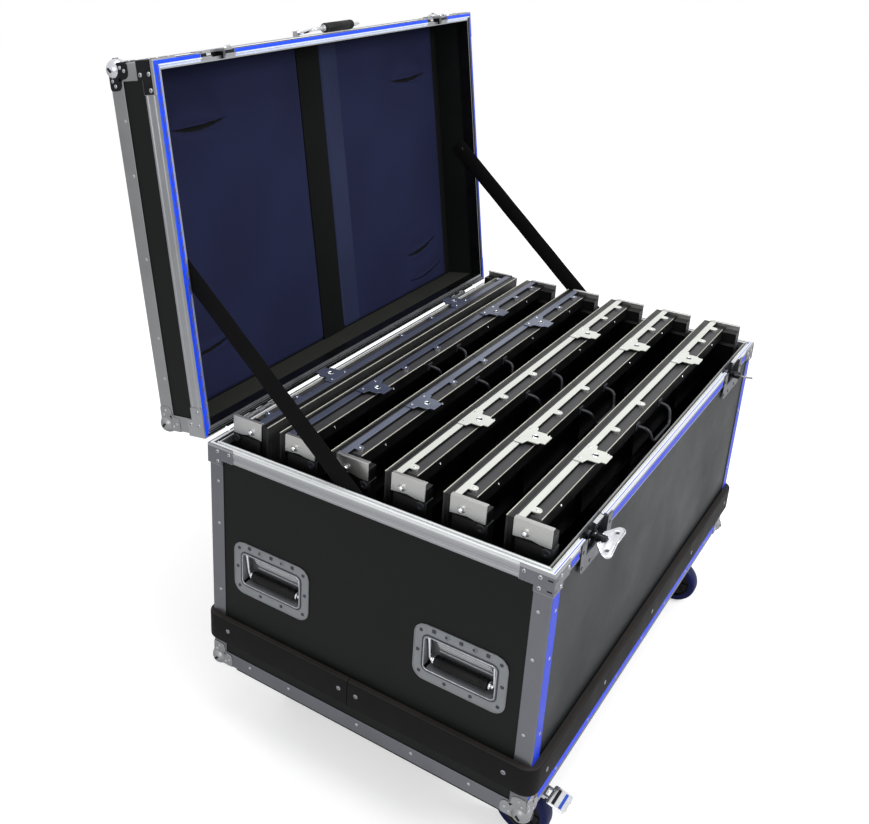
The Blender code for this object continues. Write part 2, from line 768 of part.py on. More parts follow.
def bumper_strip():
    """The rubber bumper round the base, with round corners and a butt joint on the -X end."""
    low = BASE_Z + BUMPER_LOW
    high = low + BUMPER_HEIGHT
    out = BUMPER_THICKNESS
    inner = -SEAT_GAP
    profile = [
        (inner, low, BUMPER_INNER_RADIUS),
        (-out + BUMPER_EDGE, low, BUMPER_RADIUS - BUMPER_EDGE),
        (-out, low + BUMPER_EDGE, BUMPER_RADIUS),
        (-out, high - BUMPER_EDGE, BUMPER_RADIUS),
        (-out + BUMPER_EDGE, high, BUMPER_RADIUS - BUMPER_EDGE),
        (inner, high, BUMPER_INNER_RADIUS),
    ]
    mesh = ring(profile, HALF_X, HALF_Y, BUMPER_CORNER_STEPS)
    middle = BUMPER_SPLIT_Y
    split = block(
        (-HALF_X - out - CUT_OVERRUN, -HALF_X + CUT_OVERRUN),
        (middle - BUMPER_SPLIT / 2, middle + BUMPER_SPLIT / 2),
        (low - CUT_OVERRUN, high + CUT_OVERRUN),
    )
    add("bumper_strip", carved(mesh, split), "rubber", smooth=True)


# Slot racks and floor pad


def cabinet_place(index):
    """Where a cabinet's screen stands and the way that it looks: the one at the back faces the others."""
    if index == 0:
        return CABINET_SHIFT + CABINETS_HALF - CABINET_DEPTH - PAIR_SHIFT, -1
    return CABINET_SHIFT + CABINETS_HALF - index * CABINET_PITCH, 1


def rib_middle(index):
    """Halfway between a cabinet and the next one towards the front."""
    face, sense = cabinet_place(index)
    near_side = face if sense < 0 else face - CABINET_DEPTH
    return (near_side + cabinet_place(index + 1)[0]) / 2


def slot_racks():
    """At each end a board with ribs that keep the cabinets apart, and a pad under them."""
    low, high = PAD_TOP + SEAT_GAP, RIM_Z - RACK_DROP
    half_y = INNER_Y - RACK_END_GAP
    for name, side in (("left_slot_rack", -1), ("right_slot_rack", 1)):
        wall = side * (INNER_X - SEAT_GAP)
        front = side * (INNER_X - SEAT_GAP - RACK_BOARD)
        mesh = block((wall, front), (-half_y, half_y), (low, high))
        for index in range(CABINET_COUNT - 1):
            gap_mid = rib_middle(index)
            tip = front - side * RACK_REACH
            back = front + side * RACK_BOARD / 2
            outline = [
                (back, low),
                (tip, low),
                (tip, high - RACK_CHAMFER),
                (tip + side * RACK_CHAMFER, high),
                (back, high),
            ]
            rib = prism(outline, (gap_mid - RACK_RIB / 2, gap_mid + RACK_RIB / 2), "y")
            mesh = joined(mesh, rib)
        windows = [dish_box(side, place, RACK_WINDOW_GAP) for place in (-1, 1)]
        add(name, carved(mesh, *windows), "foam")
    pad_x, pad_y = INNER_X - SEAT_GAP, INNER_Y - SEAT_GAP
    pad_low = FLOOR_Z + SEAT_GAP
    add("floor_pad", block((-pad_x, pad_x), (-pad_y, pad_y), (pad_low, PAD_TOP)), "foam")


# Recessed handles


def dish_middle(side, place):
    """The middle of a handle dish, on the outer face of its plate."""
    plate_face = HALF_X - PANEL_INSET + SEAT_GAP + DISH_PLATE
    return Vector((side * plate_face, place * DISH_Y, BASE_Z + DISH_MID))


def dish_box(side, place, gap):
    """A box round a dish's tub, larger by a gap, for the openings that it goes through."""
    middle = dish_middle(side, place)
    half_y = DISH_OPENING_WIDTH / 2 + DISH_PLATE + gap
    half_z = DISH_OPENING_HEIGHT / 2 + DISH_PLATE + gap
    z = middle.z
    depth = DISH_DEPTH + DISH_PLATE + gap
    ends = (middle.x - side * depth, middle.x + side * CUT_OVERRUN)
    return block(ends, (middle.y - half_y, middle.y + half_y), (z - half_z, z + half_z))


def handle_dish(side, place):
    """A pressed dish: a round-cornered plate, a tub with a sloped, ribbed back and a bead round its mouth."""
    middle = dish_middle(side, place)
    z = middle.z
    face = middle.x
    half_y, half_z = DISH_OPENING_WIDTH / 2, DISH_OPENING_HEIGHT / 2
    plate_outline = rounded_box(DISH_WIDTH / 2, DISH_HEIGHT / 2, DISH_CORNER, (middle.y, middle.z))
    mesh = prism(plate_outline, (face, face - side * DISH_PLATE), "x")
    tub_outline = rounded_box(half_y + DISH_PLATE, half_z + DISH_PLATE, DISH_OPENING_CORNER, (middle.y, z))
    tub_ends = (face - side * FUSE_DEPTH, face - side * (DISH_DEPTH + DISH_PLATE))
    tub = prism(tub_outline, tub_ends, "x")
    bead_outline = rounded_box(half_y + DISH_BEAD, half_z + DISH_BEAD, DISH_OPENING_CORNER, (middle.y, z))
    bead = prism(bead_outline, (face - side * FUSE_DEPTH, face + side * DISH_BEAD_RAISE), "x")
    mesh = joined(mesh, tub, bead)
    top, low = z + half_z, z - half_z
    slope_foot = low + DISH_SLOPE_FOOT_SHARE * DISH_OPENING_HEIGHT
    floor_x = face - side * DISH_DEPTH
    shelf_x = face - side * DISH_SHELF
    mouth_x = face + side * CUT_OVERRUN
    hollow_side = [(mouth_x, low), (mouth_x, top), (shelf_x, top), (floor_x, slope_foot), (floor_x, low)]
    hollow = prism(hollow_side, (middle.y - half_y, middle.y + half_y), "y")
    mesh = carved(mesh, hollow)
    rib_half = DISH_RIB_LENGTH_SHARE * half_y
    for index in range(DISH_RIBS):
        share = (index + 1) / (DISH_RIBS + 1)
        rib_x = shelf_x + (floor_x - shelf_x) * share
        rib_z = top + (slope_foot - top) * share
        ends_x = (rib_x - side * DISH_PLATE, rib_x + side * DISH_RIB)
        ends_z = (rib_z - DISH_RIB, rib_z + DISH_RIB)
        rib = block(ends_x, (middle.y - rib_half, middle.y + rib_half), ends_z)
        mesh = joined(mesh, rib)
    return mesh


def grip_profile(radius, length, collar, edge):
    """A grip with rounded ends and a collar at each, as a profile of (radius, along)."""
    half = length / 2
    tip = half + COLLAR_LENGTH
    return [
        (0, -tip),
        (collar, -tip),
        (collar, -half),
        (radius - edge, -half),
        (radius, -half + edge),
        (radius, half - edge),
        (radius - edge, half),
        (collar, half),
        (collar, tip),
        (0, tip),
    ]


def handle_bail(side, place):
    """A steel bail pinned at the top of the dish's mouth, with a grip that hangs in the tub."""
    middle = dish_middle(side, place)
    pivot_z = middle.z + DISH_OPENING_HEIGHT / 2 - BAIL_ROD - RUNNING_GAP * 2
    pivot = Vector((middle.x - side * BAIL_PIVOT_DEPTH, middle.y, pivot_z))
    grip_x = middle.x - side * BAIL_REST_DEPTH
    grip_z = pivot.z - BAIL_DROP
    half_mouth = DISH_OPENING_WIDTH / 2 - SEAT_GAP
    half_span = BAIL_SPAN / 2
    path = [
        (pivot.x, middle.y - half_mouth, pivot.z),
        (pivot.x, middle.y - half_span, pivot.z),
        (grip_x, middle.y - half_span, grip_z),
        (grip_x, middle.y + half_span, grip_z),
        (pivot.x, middle.y + half_span, pivot.z),
        (pivot.x, middle.y + half_mouth, pivot.z),
    ]
    profile = grip_profile(GRIP_RADIUS, GRIP_LENGTH, COLLAR_RADIUS, GRIP_EDGE)
    grip = turned(profile, (grip_x, middle.y, grip_z), (0, 1, 0), GRIP_STEPS)
    return joined(tube(path, BAIL_ROD, BAIL_SIDES), grip), pivot


def handles():
    """Two recessed handles on each end of the base."""
    for end, side in (("left", -1), ("right", 1)):
        for which, place in (("front", -1), ("back", 1)):
            add(f"{end}_{which}_handle_dish", handle_dish(side, place), "zinc")
            bail, pivot = handle_bail(side, place)
            add(f"{end}_{which}_handle_bail", bail, "grip", pivot, smooth=True)


# Twist latches


def latch_cut(side, inner):
    """The block cut out of the rim and the front panel for a latch, from inner outwards."""
    x = side * LATCH_X
    half = LATCH_TUB_WIDTH / 2 + LATCH_CUT_GAP
    outer = HALF_Y + BRACE_THICKNESS + CUT_OVERRUN
    low = RIM_Z - LATCH_TUB_HEIGHT - LATCH_CUT_GAP
    return block((x - half, x + half), (-outer, -inner), (low, RIM_Z + CUT_OVERRUN))


def latch_plate(x):
    """The latch's faceplate and tub, with the housing of its spindle and the lugs that carry its hook."""
    face = -HALF_Y - RIDGE - SEAT_GAP - LATCH_PLATE
    low, top = RIM_Z - LATCH_HEIGHT, RIM_Z - LATCH_TOP_GAP
    half = LATCH_WIDTH / 2
    outline = [(x + half, top), (x - half, top)]
    outline += arc((x - half + LATCH_CORNER, low + LATCH_CORNER), LATCH_CORNER, 180, 270, CORNER_STEPS)
    outline += arc((x + half - LATCH_CORNER, low + LATCH_CORNER), LATCH_CORNER, 270, 360, CORNER_STEPS)
    mesh = prism(outline, (face, face + LATCH_PLATE), "y")
    back = -HALF_Y + RIM_WIDTH - RIM_WALL - SEAT_GAP
    half_tub = LATCH_TUB_WIDTH / 2
    tub_low = RIM_Z - LATCH_TUB_HEIGHT
    tub_top = RIM_Z - GROOVE_DEPTH
    tub = block((x - half_tub, x + half_tub), (face + FUSE_DEPTH, back), (tub_low, tub_top))
    wall = LATCH_TUB_WALL
    hollow = block(
        (x - half_tub + wall, x + half_tub - wall),
        (face - CUT_OVERRUN, back - wall),
        (tub_low + wall, top + CUT_OVERRUN),
    )
    mesh = carved(joined(mesh, tub), hollow)
    spindle = (x, 0, RIM_Z - SPINDLE_DROP)
    housing_end = back - wall - SPINDLE_HOUSING_DEPTH
    housing = cylinder(SPINDLE_HOUSING, (housing_end, back - wall / 2), spindle, (0, 1, 0))
    bore_ends = (housing_end - CUT_OVERRUN, back - wall - RUNNING_GAP)
    bore = cylinder(SPINDLE_RADIUS + RUNNING_GAP, bore_ends, spindle, (0, 1, 0))
    mesh = carved(joined(mesh, housing), bore)
    pivot_y, pivot_z = -HALF_Y + HOOK_PIVOT_INSET, RIM_Z - HOOK_PIVOT_DROP
    for side in (-1, 1):
        near = HOOK_HALF_WIDTH + HOOK_LUG_GAP
        ends_x = (x + side * near, x + side * (near + HOOK_LUG))
        ends_z = (pivot_z - HOOK_KNUCKLE, pivot_z + HOOK_KNUCKLE)
        lug = block(ends_x, (pivot_y - HOOK_KNUCKLE, back - wall / 2), ends_z)
        pin_ends = sorted((side * (HOOK_WINDOW + RUNNING_GAP), side * (near + HOOK_LUG / 2)))
        pin = cylinder(HOOK_PIN, pin_ends, (x, pivot_y, pivot_z), (1, 0, 0), 2 * CORNER_STEPS)
        mesh = joined(mesh, lug, pin)
    for share_x, share_z in LATCH_SCREW_SHARES:
        place = (x + share_x * half, 0, top - share_z * LATCH_HEIGHT)
        ends = (face - LATCH_SCREW_RAISE, face + FUSE_DEPTH)
        mesh = joined(mesh, cylinder(LATCH_SCREW, ends, place, (0, 1, 0), 2 * CORNER_STEPS))
    return mesh


def wing_outline():
    """The butterfly wing as (along, out) points: two lobes, and a notch for the spindle."""
    right = arc((WING_LOBE_ALONG, WING_LOBE_OUT), WING_LOBE, -35, 90, CORNER_STEPS)
    left = [(-a, b) for a, b in reversed(right)]
    notch = arc((0, WING_NOTCH_END - WING_NOTCH), WING_NOTCH, 180, 0, 2 * CORNER_STEPS)
    left_root = [(-WING_ROOT_HALF, WING_ROOT), (-WING_NOTCH, WING_ROOT)]
    right_root = [(WING_NOTCH, WING_ROOT), (WING_ROOT_HALF, WING_ROOT)]
    return right + [(0, WING_WAIST_OUT)] + left + left_root + notch + right_root


def latch_wing(side):
    """The wing that stands out on the spindle, which goes through the hook's window into its housing."""
    outline = [(a, -HALF_Y - b) for a, b in wing_outline()]
    mesh = prism(outline, (-WING_PLATE / 2, WING_PLATE / 2), "z")
    for way in (-1, 1):
        place = (way * WING_HOLE_ALONG, -HALF_Y - WING_HOLE_OUT, 0)
        hole = cylinder(WING_HOLE, (-WING_PLATE, WING_PLATE), place, (0, 0, 1), 2 * CORNER_STEPS)
        mesh = carved(mesh, hole)
    head_start, head_end = -HALF_Y - SPINDLE_HEAD_START, -HALF_Y - SPINDLE_HEAD_END
    spindle_end = -HALF_Y + RIM_WIDTH - RIM_WALL - SEAT_GAP - LATCH_TUB_WALL - 2 * RUNNING_GAP
    profile = [
        (0, head_end),
        (SPINDLE_HEAD - TREAD_CROWN, head_end),
        (SPINDLE_HEAD, head_end + TREAD_CROWN),
        (SPINDLE_HEAD, head_start),
        (SPINDLE_RADIUS, head_start),
        (SPINDLE_RADIUS, spindle_end),
        (0, spindle_end),
    ]
    spindle = turned(profile, (0, 0, 0), (0, 1, 0), ROUND_STEPS)
    pin_half = (WING_NOTCH + WING_ROOT_HALF) / 2
    pin_place = (0, -HALF_Y - WING_PIN_OUT, 0)
    pin = cylinder(WING_PIN, (-pin_half, pin_half), pin_place, (1, 0, 0), 2 * CORNER_STEPS)
    mesh = joined(mesh, spindle, pin)
    turn = Matrix.Rotation(-WING_REST_TURNS[side], 4, "Y")
    return moved(mesh, Matrix.Translation((side * LATCH_X, 0, RIM_Z - SPINDLE_DROP)) @ turn)


def latch_hook(x):
    """The forked hook, drawn as it stands when it grips the keeper, and then tilted fully out."""
    pivot = Vector((x, -HALF_Y + HOOK_PIVOT_INSET, RIM_Z - HOOK_PIVOT_DROP))
    near, far = pivot.y - HOOK_PLATE / 2, pivot.y + HOOK_PLATE / 2
    top = RIM_Z + HOOK_TOP
    half = HOOK_HALF_WIDTH
    mesh = block((x - half, x + half), (near, far), (RIM_Z + HOOK_WINDOW_TOP, top))
    lip = block((x - half, x + half), (near, far + HOOK_LIP), (top - HOOK_LIP_HEIGHT, top))
    mesh = joined(mesh, lip)
    for side in (-1, 1):
        ends_x = (x + side * HOOK_WINDOW, x + side * half)
        leg = block(ends_x, (near, far), (pivot.z, RIM_Z + HOOK_WINDOW_TOP + FUSE_DEPTH))
        ends = sorted((side * HOOK_WINDOW, side * half))
        knuckle = cylinder(HOOK_KNUCKLE, ends, pivot, (1, 0, 0), ROUND_STEPS)
        mesh = joined(mesh, leg, knuckle)
    bore_ends = (-half - CUT_OVERRUN, half + CUT_OVERRUN)
    mesh = carved(mesh, cylinder(HOOK_BORE, bore_ends, pivot, (1, 0, 0), 2 * CORNER_STEPS))
    tilt = Matrix.Rotation(HOOK_TILT, 4, "X")
    place = Matrix.Translation(pivot)
    return moved(mesh, place @ tilt @ place.inverted()), pivot


def latches():
    """Two twist latches on the front of the base."""
    for end, side in (("left", -1), ("right", 1)):
        x = side * LATCH_X
        add(f"{end}_latch_plate", latch_plate(x), "zinc")
        hook, pivot = latch_hook(x)
        add(f"{end}_latch_hook", hook, "zinc", pivot)
        spindle = (x, -HALF_Y, RIM_Z - SPINDLE_DROP)
        add(f"{end}_latch_wing", latch_wing(side), "zinc", spindle)


# Caster boards, casters and brake pedals


def caster_boards():
    """A painted board under each end of the case, with its outer corners cut away for the ball corners."""
    low = CASTER_HEIGHT
    far_x, far_y = HALF_X - BOARD_END_INSET, HALF_Y - BOARD_SIDE_INSET
    near_x = far_x - BOARD_LENGTH
    notch_x, notch_y = far_x - BOARD_NOTCH_X, far_y - BOARD_NOTCH_Y
    half = [(near_x, -far_y), (notch_x, -far_y), (notch_x, -notch_y), (far_x, -notch_y)]
    outline = half + [(a, -b) for a, b in reversed(half)]
    for end, side in (("left", -1), ("right", 1)):
        board = prism([(side * a, b) for a, b in outline], (low, low + BOARD_THICKNESS), "z")
        add(f"{end}_caster_board", board, "plywood")


def caster_plate(x, y):
    """The caster's top plate with its four bolt heads, race and kingpin."""
    top = CASTER_HEIGHT - SEAT_GAP
    low = top - CASTER_PLATE
    outline = rounded_box(CASTER_PLATE_LENGTH / 2, CASTER_PLATE_WIDTH / 2, CASTER_PLATE_RADIUS, (x, y), 3)
    mesh = prism(outline, (low, top), "z")
    race_low = low - RACE_HEIGHT
    crown_low = race_low - RUNNING_GAP - CROWN_HEIGHT
    head_top = crown_low - RUNNING_GAP
    profile = [
        (0, low + FUSE_DEPTH),
        (RACE_RADIUS - RACE_HEIGHT / 3, low + FUSE_DEPTH),
        (RACE_RADIUS, low - RACE_HEIGHT / 3),
        (RACE_RADIUS, race_low),
        (KINGPIN_RADIUS, race_low),
        (KINGPIN_RADIUS, head_top),
        (KINGPIN_HEAD_RADIUS, head_top),
        (KINGPIN_HEAD_RADIUS, head_top - KINGPIN_HEAD),
        (0, head_top - KINGPIN_HEAD),
    ]
    mesh = joined(mesh, turned(profile, (x, y, 0), (0, 0, 1), ROUND_STEPS))
    for side_x in (-1, 1):
        for side_y in (-1, 1):
            place = (x + side_x * CASTER_BOLT_X, y + side_y * CASTER_BOLT_Y, 0)
            ends = (low - CASTER_BOLT_HEIGHT, low + FUSE_DEPTH)
            mesh = joined(mesh, cylinder(CASTER_BOLT_RADIUS, ends, place, (0, 0, 1), BOLT_SIDES))
    return mesh


def caster_fork(x, y, braked):
    """The swivelling fork with its crown, two legs and the axle bolt across them."""
    crown_top = CASTER_HEIGHT - SEAT_GAP - CASTER_PLATE - RACE_HEIGHT - RUNNING_GAP
    crown_low = crown_top - CROWN_HEIGHT
    axle_y, axle_z = y - CASTER_TRAIL, WHEEL_RADIUS
    bore = KINGPIN_RADIUS + RUNNING_GAP
    crown = [(bore, crown_low), (CROWN_RADIUS, crown_low), (CROWN_RADIUS, crown_top), (bore, crown_top)]
    mesh = turned(crown, (x, y, 0), (0, 0, 1), ROUND_STEPS)
    foot = FORK_LEG_FOOT / 2
    leg_top = crown_top - FUSE_DEPTH
    outline = [(y + FORK_LEG_TOP / 2, leg_top), (y - FORK_LEG_TOP / 2, leg_top)]
    if braked:
        ear_y = y - FORK_EAR_OUT
        outline += [(ear_y, WHEEL_TOP + FORK_EAR_HIGH_RISE), (ear_y, WHEEL_TOP + FORK_EAR_LOW_RISE)]
    outline += [(axle_y - foot, axle_z + FORK_FOOT_DROP / 2), (axle_y - foot / 2, axle_z - FORK_FOOT_DROP)]
    outline += [(axle_y + foot / 2, axle_z - FORK_FOOT_DROP), (axle_y + foot, axle_z + FORK_FOOT_DROP / 2)]
    outline += [(y + FORK_LEG_TOP / 2 - FORK_LEG, crown_low - CROWN_HEIGHT)]
    for side in (-1, 1):
        ends = (x + side * FORK_GAP / 2, x + side * (FORK_GAP / 2 + FORK_LEG))
        mesh = joined(mesh, prism(outline, ends, "x"))
    reach = FORK_GAP / 2 + FORK_LEG + AXLE_HEAD
    profile = [
        (0, -reach),
        (AXLE_HEAD_RADIUS, -reach),
        (AXLE_HEAD_RADIUS, -reach + AXLE_HEAD + FUSE_DEPTH),
        (AXLE_RADIUS, -reach + AXLE_HEAD + FUSE_DEPTH),
        (AXLE_RADIUS, reach - AXLE_HEAD - FUSE_DEPTH),
        (AXLE_HEAD_RADIUS, reach - AXLE_HEAD - FUSE_DEPTH),
        (AXLE_HEAD_RADIUS, reach),
        (0, reach),
    ]
    axle = turned(profile, (x, axle_y, axle_z), (1, 0, 0), ROUND_STEPS)
    mesh = joined(mesh, axle)
    if braked:
        pin = PEDAL_PIVOT_RADIUS - RUNNING_GAP / 2
        half = FORK_GAP / 2 + FORK_LEG / 2
        place = (x, y - PEDAL_PIVOT_OUT, PEDAL_PIVOT_LEVEL)
        mesh = joined(mesh, cylinder(pin, (-half, half), place, (1, 0, 0), 2 * CORNER_STEPS))
    return mesh


def caster_wheel(x, y):
    """A wheel with rounded tread edges, dished sides and a hub on the axle."""
    half = WHEEL_WIDTH / 2
    rim = WHEEL_RADIUS - TREAD_DEPTH
    right = [
        (WHEEL_RADIUS, half - TREAD_EDGE),
        (WHEEL_RADIUS - TREAD_EDGE, half),
        (rim, half),
        (HUB_RADIUS + WHEEL_DISH, half - WHEEL_DISH),
        (HUB_RADIUS, half + TREAD_CROWN / 2),
        (WHEEL_BORE, half + TREAD_CROWN / 2),
    ]
    left = [(radius, -along) for radius, along in reversed(right)]
    return turned(right + left, (x, y - CASTER_TRAIL, WHEEL_RADIUS), (1, 0, 0), WHEEL_STEPS)


def brake_pedal(x, y):
    """A pedal on a sleeve between the fork's ears, with a shoe under its arm."""
    out, level = y - PEDAL_PIVOT_OUT, PEDAL_PIVOT_LEVEL
    half_arm, half_plate = PEDAL_ARM_WIDTH / 2, PEDAL_PLATE_WIDTH / 2
    start = (y - PEDAL_START, WHEEL_TOP + PEDAL_START_RISE)
    end = (y - PEDAL_END, WHEEL_TOP + PEDAL_END_RISE)
    thick = PEDAL_PLATE
    arm_side = [
        (out, level + thick / 2),
        (start[0], start[1] + thick),
        (start[0], start[1]),
        (out, level - thick / 2),
    ]
    arm = prism(arm_side, (x - half_arm, x + half_arm), "x")
    inner_y, lip = start[0] + 2 * thick, RUNNING_GAP
    plate_side = [
        (inner_y, start[1] + thick + lip),
        (end[0], end[1] + thick + lip),
        (end[0], end[1] - lip),
        (inner_y, start[1] - lip),
    ]
    plate = prism(plate_side, (x - half_plate, x + half_plate), "x")
    sleeve = cylinder(PEDAL_SLEEVE, (-half_arm, half_arm), (x, out, level), (1, 0, 0), ROUND_STEPS)
    shoe_y = y - PEDAL_SHOE_OUT
    shoe = block(
        (x - half_arm + thick, x + half_arm - thick),
        (shoe_y - PEDAL_SHOE_LENGTH / 2, shoe_y + PEDAL_SHOE_LENGTH / 2),
        (level + thick / 2 - PEDAL_SHOE_DROP, level),
    )
    mesh = joined(arm, plate, sleeve, shoe)
    bore_ends = (-half_arm - CUT_OVERRUN, half_arm + CUT_OVERRUN)
    bore_radius = PEDAL_PIVOT_RADIUS + RUNNING_GAP / 2
    bore = cylinder(bore_radius, bore_ends, (x, out, level), (1, 0, 0), 2 * CORNER_STEPS)
    return carved(mesh, bore)


def caster_turn(end, which, x, y):
    """The turn about its kingpin of a caster that doesn't trail towards the front."""
    kingpin = Matrix.Translation((x, y, 0))
    return kingpin @ Matrix.Rotation(CASTER_TURNS.get((end, which), 0), 4, "Z") @ kingpin.inverted()


def casters():
    """Four swivel casters, those at the -X end with a brake."""
    for end, side_x in (("left", -1), ("right", 1)):
        for which, side_y in (("front", -1), ("back", 1)):
            x, y = side_x * CASTER_X, side_y * CASTER_Y
            name = f"{end}_{which}_caster"
            top = (x, y, CASTER_HEIGHT)
            add(f"{name}_plate", caster_plate(x, y), "caster_steel", smooth=True)
            turn = caster_turn(end, which, x, y)
            fork = moved(caster_fork(x, y, side_x < 0), turn)
            add(f"{name}_fork", fork, "caster_steel", top, smooth=True)
            axle = turn @ Vector((x, y - CASTER_TRAIL, WHEEL_RADIUS))
            add(f"{name}_wheel", moved(caster_wheel(x, y), turn), "wheel", axle, smooth=True)
            if side_x < 0:
                pivot = turn @ Vector((x, y - PEDAL_PIVOT_OUT, PEDAL_PIVOT_LEVEL))
                pedal = moved(brake_pedal(x, y), turn)
                add(f"{end}_{which}_brake_pedal", pedal, "caster_steel", pivot, smooth=True)


# LED cabinets


def cabinet(face):
    """A cabinet facing +Y: screen modules on a frame with an open back, locks, tabs and a carrying loop."""
    half = CABINET_LENGTH / 2
    low, top = CABINET_Z, CABINET_Z + CABINET_HEIGHT
    module = face - CABINET_MODULE
    flange = module - CABINET_FLANGE
    ledge = flange - CABINET_LEDGE
    skin = module - CABINET_BACK_SKIN
    step = top - CABINET_STEP
    section = [
        (face, low + CABINET_INSET),
        (face, top - CABINET_INSET),
        (module, top - CABINET_INSET),
        (module, top),
        (flange, top),
        (flange, step),
        (ledge, step),
        (ledge, step - CABINET_BEAM),
        (skin, step - CABINET_BEAM),
        (skin, low + CABINET_FLOOR_BEAM),
        (ledge, low + CABINET_FLOOR_BEAM),
        (ledge, low),
        (module, low),
        (module, low + CABINET_INSET),
    ]
    mesh = prism(section, (-half, half), "x")
    back = face - CABINET_DEPTH
    hub_mid = low + HUB_LEVEL + HUB_HEIGHT / 2
    hub = block(
        (-HUB_LENGTH / 2, HUB_LENGTH / 2),
        (skin + FUSE_DEPTH, skin - HUB_DEPTH),
        (hub_mid - HUB_HEIGHT / 2, hub_mid + HUB_HEIGHT / 2),
    )
    mesh = joined(mesh, hub)
    for side in (-1, 1):
        end_x = (side * (half - CABINET_BEAM), side * (half - FUSE_DEPTH))
        end = block(end_x, (module - CABINET_INSET, back), (low + FUSE_DEPTH, top - CABINET_INSET))
        plate_y = (module - CABINET_INSET, module - CABINET_INSET - CABINET_END_WIDTH)
        plate_z = (top - CABINET_END_HEIGHT, top + CABINET_END_PLATE)
        plate = block((side * (half - FUSE_DEPTH), side * (half + CABINET_END_PLATE)), plate_y, plate_z)
        stud_ends = sorted((side * half, side * (half + STUD_REACH)))
        stud_place = (0, face - STUD_BACK, top - STUD_DROP)
        stud = cylinder(STUD_RADIUS, stud_ends, stud_place, (1, 0, 0), BOLT_SIDES)
        lock = lock_plate(side * LOCK_PLACE_SHARE * CABINET_LENGTH, face, top)
        mesh = joined(mesh, end, plate, stud, lock)
    for share in TAB_PLACE_SHARES:
        place = (share * half, face - TAB_BACK, 0)
        ends = (step - FUSE_DEPTH, step + TAB_HEIGHT)
        mesh = joined(mesh, cylinder(TAB_RADIUS, ends, place, (0, 0, 1), BOLT_SIDES))
    path = [
        (-CARRY_SPAN / 2, ledge + FUSE_DEPTH, top - CARRY_DROP),
        (-CARRY_SPAN / 2 + CARRY_SLANT, ledge - CARRY_OUT, top - CARRY_DROP),
        (CARRY_SPAN / 2 - CARRY_SLANT, ledge - CARRY_OUT, top - CARRY_DROP),
        (CARRY_SPAN / 2, ledge + FUSE_DEPTH, top - CARRY_DROP),
    ]
    return joined(mesh, tube(path, CARRY_ROD, BAIL_SIDES))


def lock_plate(x, face, top):
    """A locking plate on top of a cabinet, its narrower tongue reaching back over the open side."""
    half, half_tongue = LOCK_LENGTH / 2, LOCK_TONGUE / 2
    front, end = face - LOCK_START, face - LOCK_END
    shoulder = face - CABINET_MODULE - CABINET_FLANGE
    outline = [
        (x - half, front),
        (x - half, shoulder),
        (x - half_tongue, shoulder - LOCK_CORNER),
        (x - half_tongue, end + LOCK_CORNER),
        (x - half_tongue + LOCK_CORNER, end),
        (x + half_tongue - LOCK_CORNER, end),
        (x + half_tongue, end + LOCK_CORNER),
        (x + half_tongue, shoulder - LOCK_CORNER),
        (x + half, shoulder),
        (x + half, front),
    ]
    ends = (top - FUSE_DEPTH, top - FUSE_DEPTH + LOCK_PLATE)
    plate = prism(outline, ends, "z")
    hole_ends = (top - CUT_OVERRUN, top + LOCK_PLATE + CUT_OVERRUN)
    hole_place = (x, face - LOCK_HOLE_BACK, 0)
    return carved(plate, cylinder(LOCK_HOLE, hole_ends, hole_place, (0, 0, 1), BOLT_SIDES))


def cabinets():
    """The cabinets standing on edge in the racks, the one at the back turned to face the next."""
    for index in range(CABINET_COUNT):
        face, sense = cabinet_place(index)
        mesh = cabinet(face)
        if sense < 0:
            mesh = mirrored(mesh, y=-1, about=(0, face, 0))
        add(f"led_cabinet_{index + 1}", mesh, "cabinet")


# Hinges


def hinge_leaf(x, sense):
    """One leaf of a butt hinge on the back: sense -1 is the base's, with the pin, and 1 is the lid's."""
    face = HALF_Y + RIDGE + SEAT_GAP
    y, z = HINGE_AXIS.y, HINGE_AXIS.z
    half = HINGE_LENGTH / 2
    near = z + sense * (HINGE_KNUCKLE_RADIUS + HINGE_LEAF_GAP)
    leaf = block((x - half, x + half), (face, face + HINGE_LEAF), (near, z + sense * HINGE_LEAF_HEIGHT))
    pitch = HINGE_LENGTH / HINGE_KNUCKLES
    mesh = leaf
    for index in range(HINGE_KNUCKLES):
        if index % 2 != (sense + 1) // 2:
            continue
        low = -half + index * pitch + HINGE_LEAF_GAP / 2
        high = low + pitch - HINGE_LEAF_GAP
        tab_z = (near + sense * FUSE_DEPTH, z + sense * HINGE_TAB_REACH)
        tab = block((x + low, x + high), (face, face + HINGE_LEAF), tab_z)
        knuckle = cylinder(HINGE_KNUCKLE_RADIUS, (low, high), (x, y, z), (1, 0, 0), HINGE_STEPS)
        mesh = joined(mesh, tab, knuckle)
    if sense > 0:
        ends = (-half - CUT_OVERRUN, half + CUT_OVERRUN)
        return carved(mesh, cylinder(HINGE_BORE_RADIUS, ends, (x, y, z), (1, 0, 0), HINGE_STEPS))
    ends = (-half + FUSE_DEPTH, half - FUSE_DEPTH)
    return joined(mesh, cylinder(HINGE_PIN_RADIUS, ends, (x, y, z), (1, 0, 0), HINGE_STEPS))


def hinges(lid):
    """Two butt hinges between the base's rim and the lid's."""
    for end, side in (("left", -1), ("right", 1)):
        x = side * HINGE_X
        add(f"{end}_hinge_base_leaf", hinge_leaf(x, -1), "zinc", HINGE_AXIS)
        add(f"{end}_hinge_lid_leaf", hinge_leaf(x, 1), "zinc", HINGE_AXIS, lid)


# The lid, drawn closed


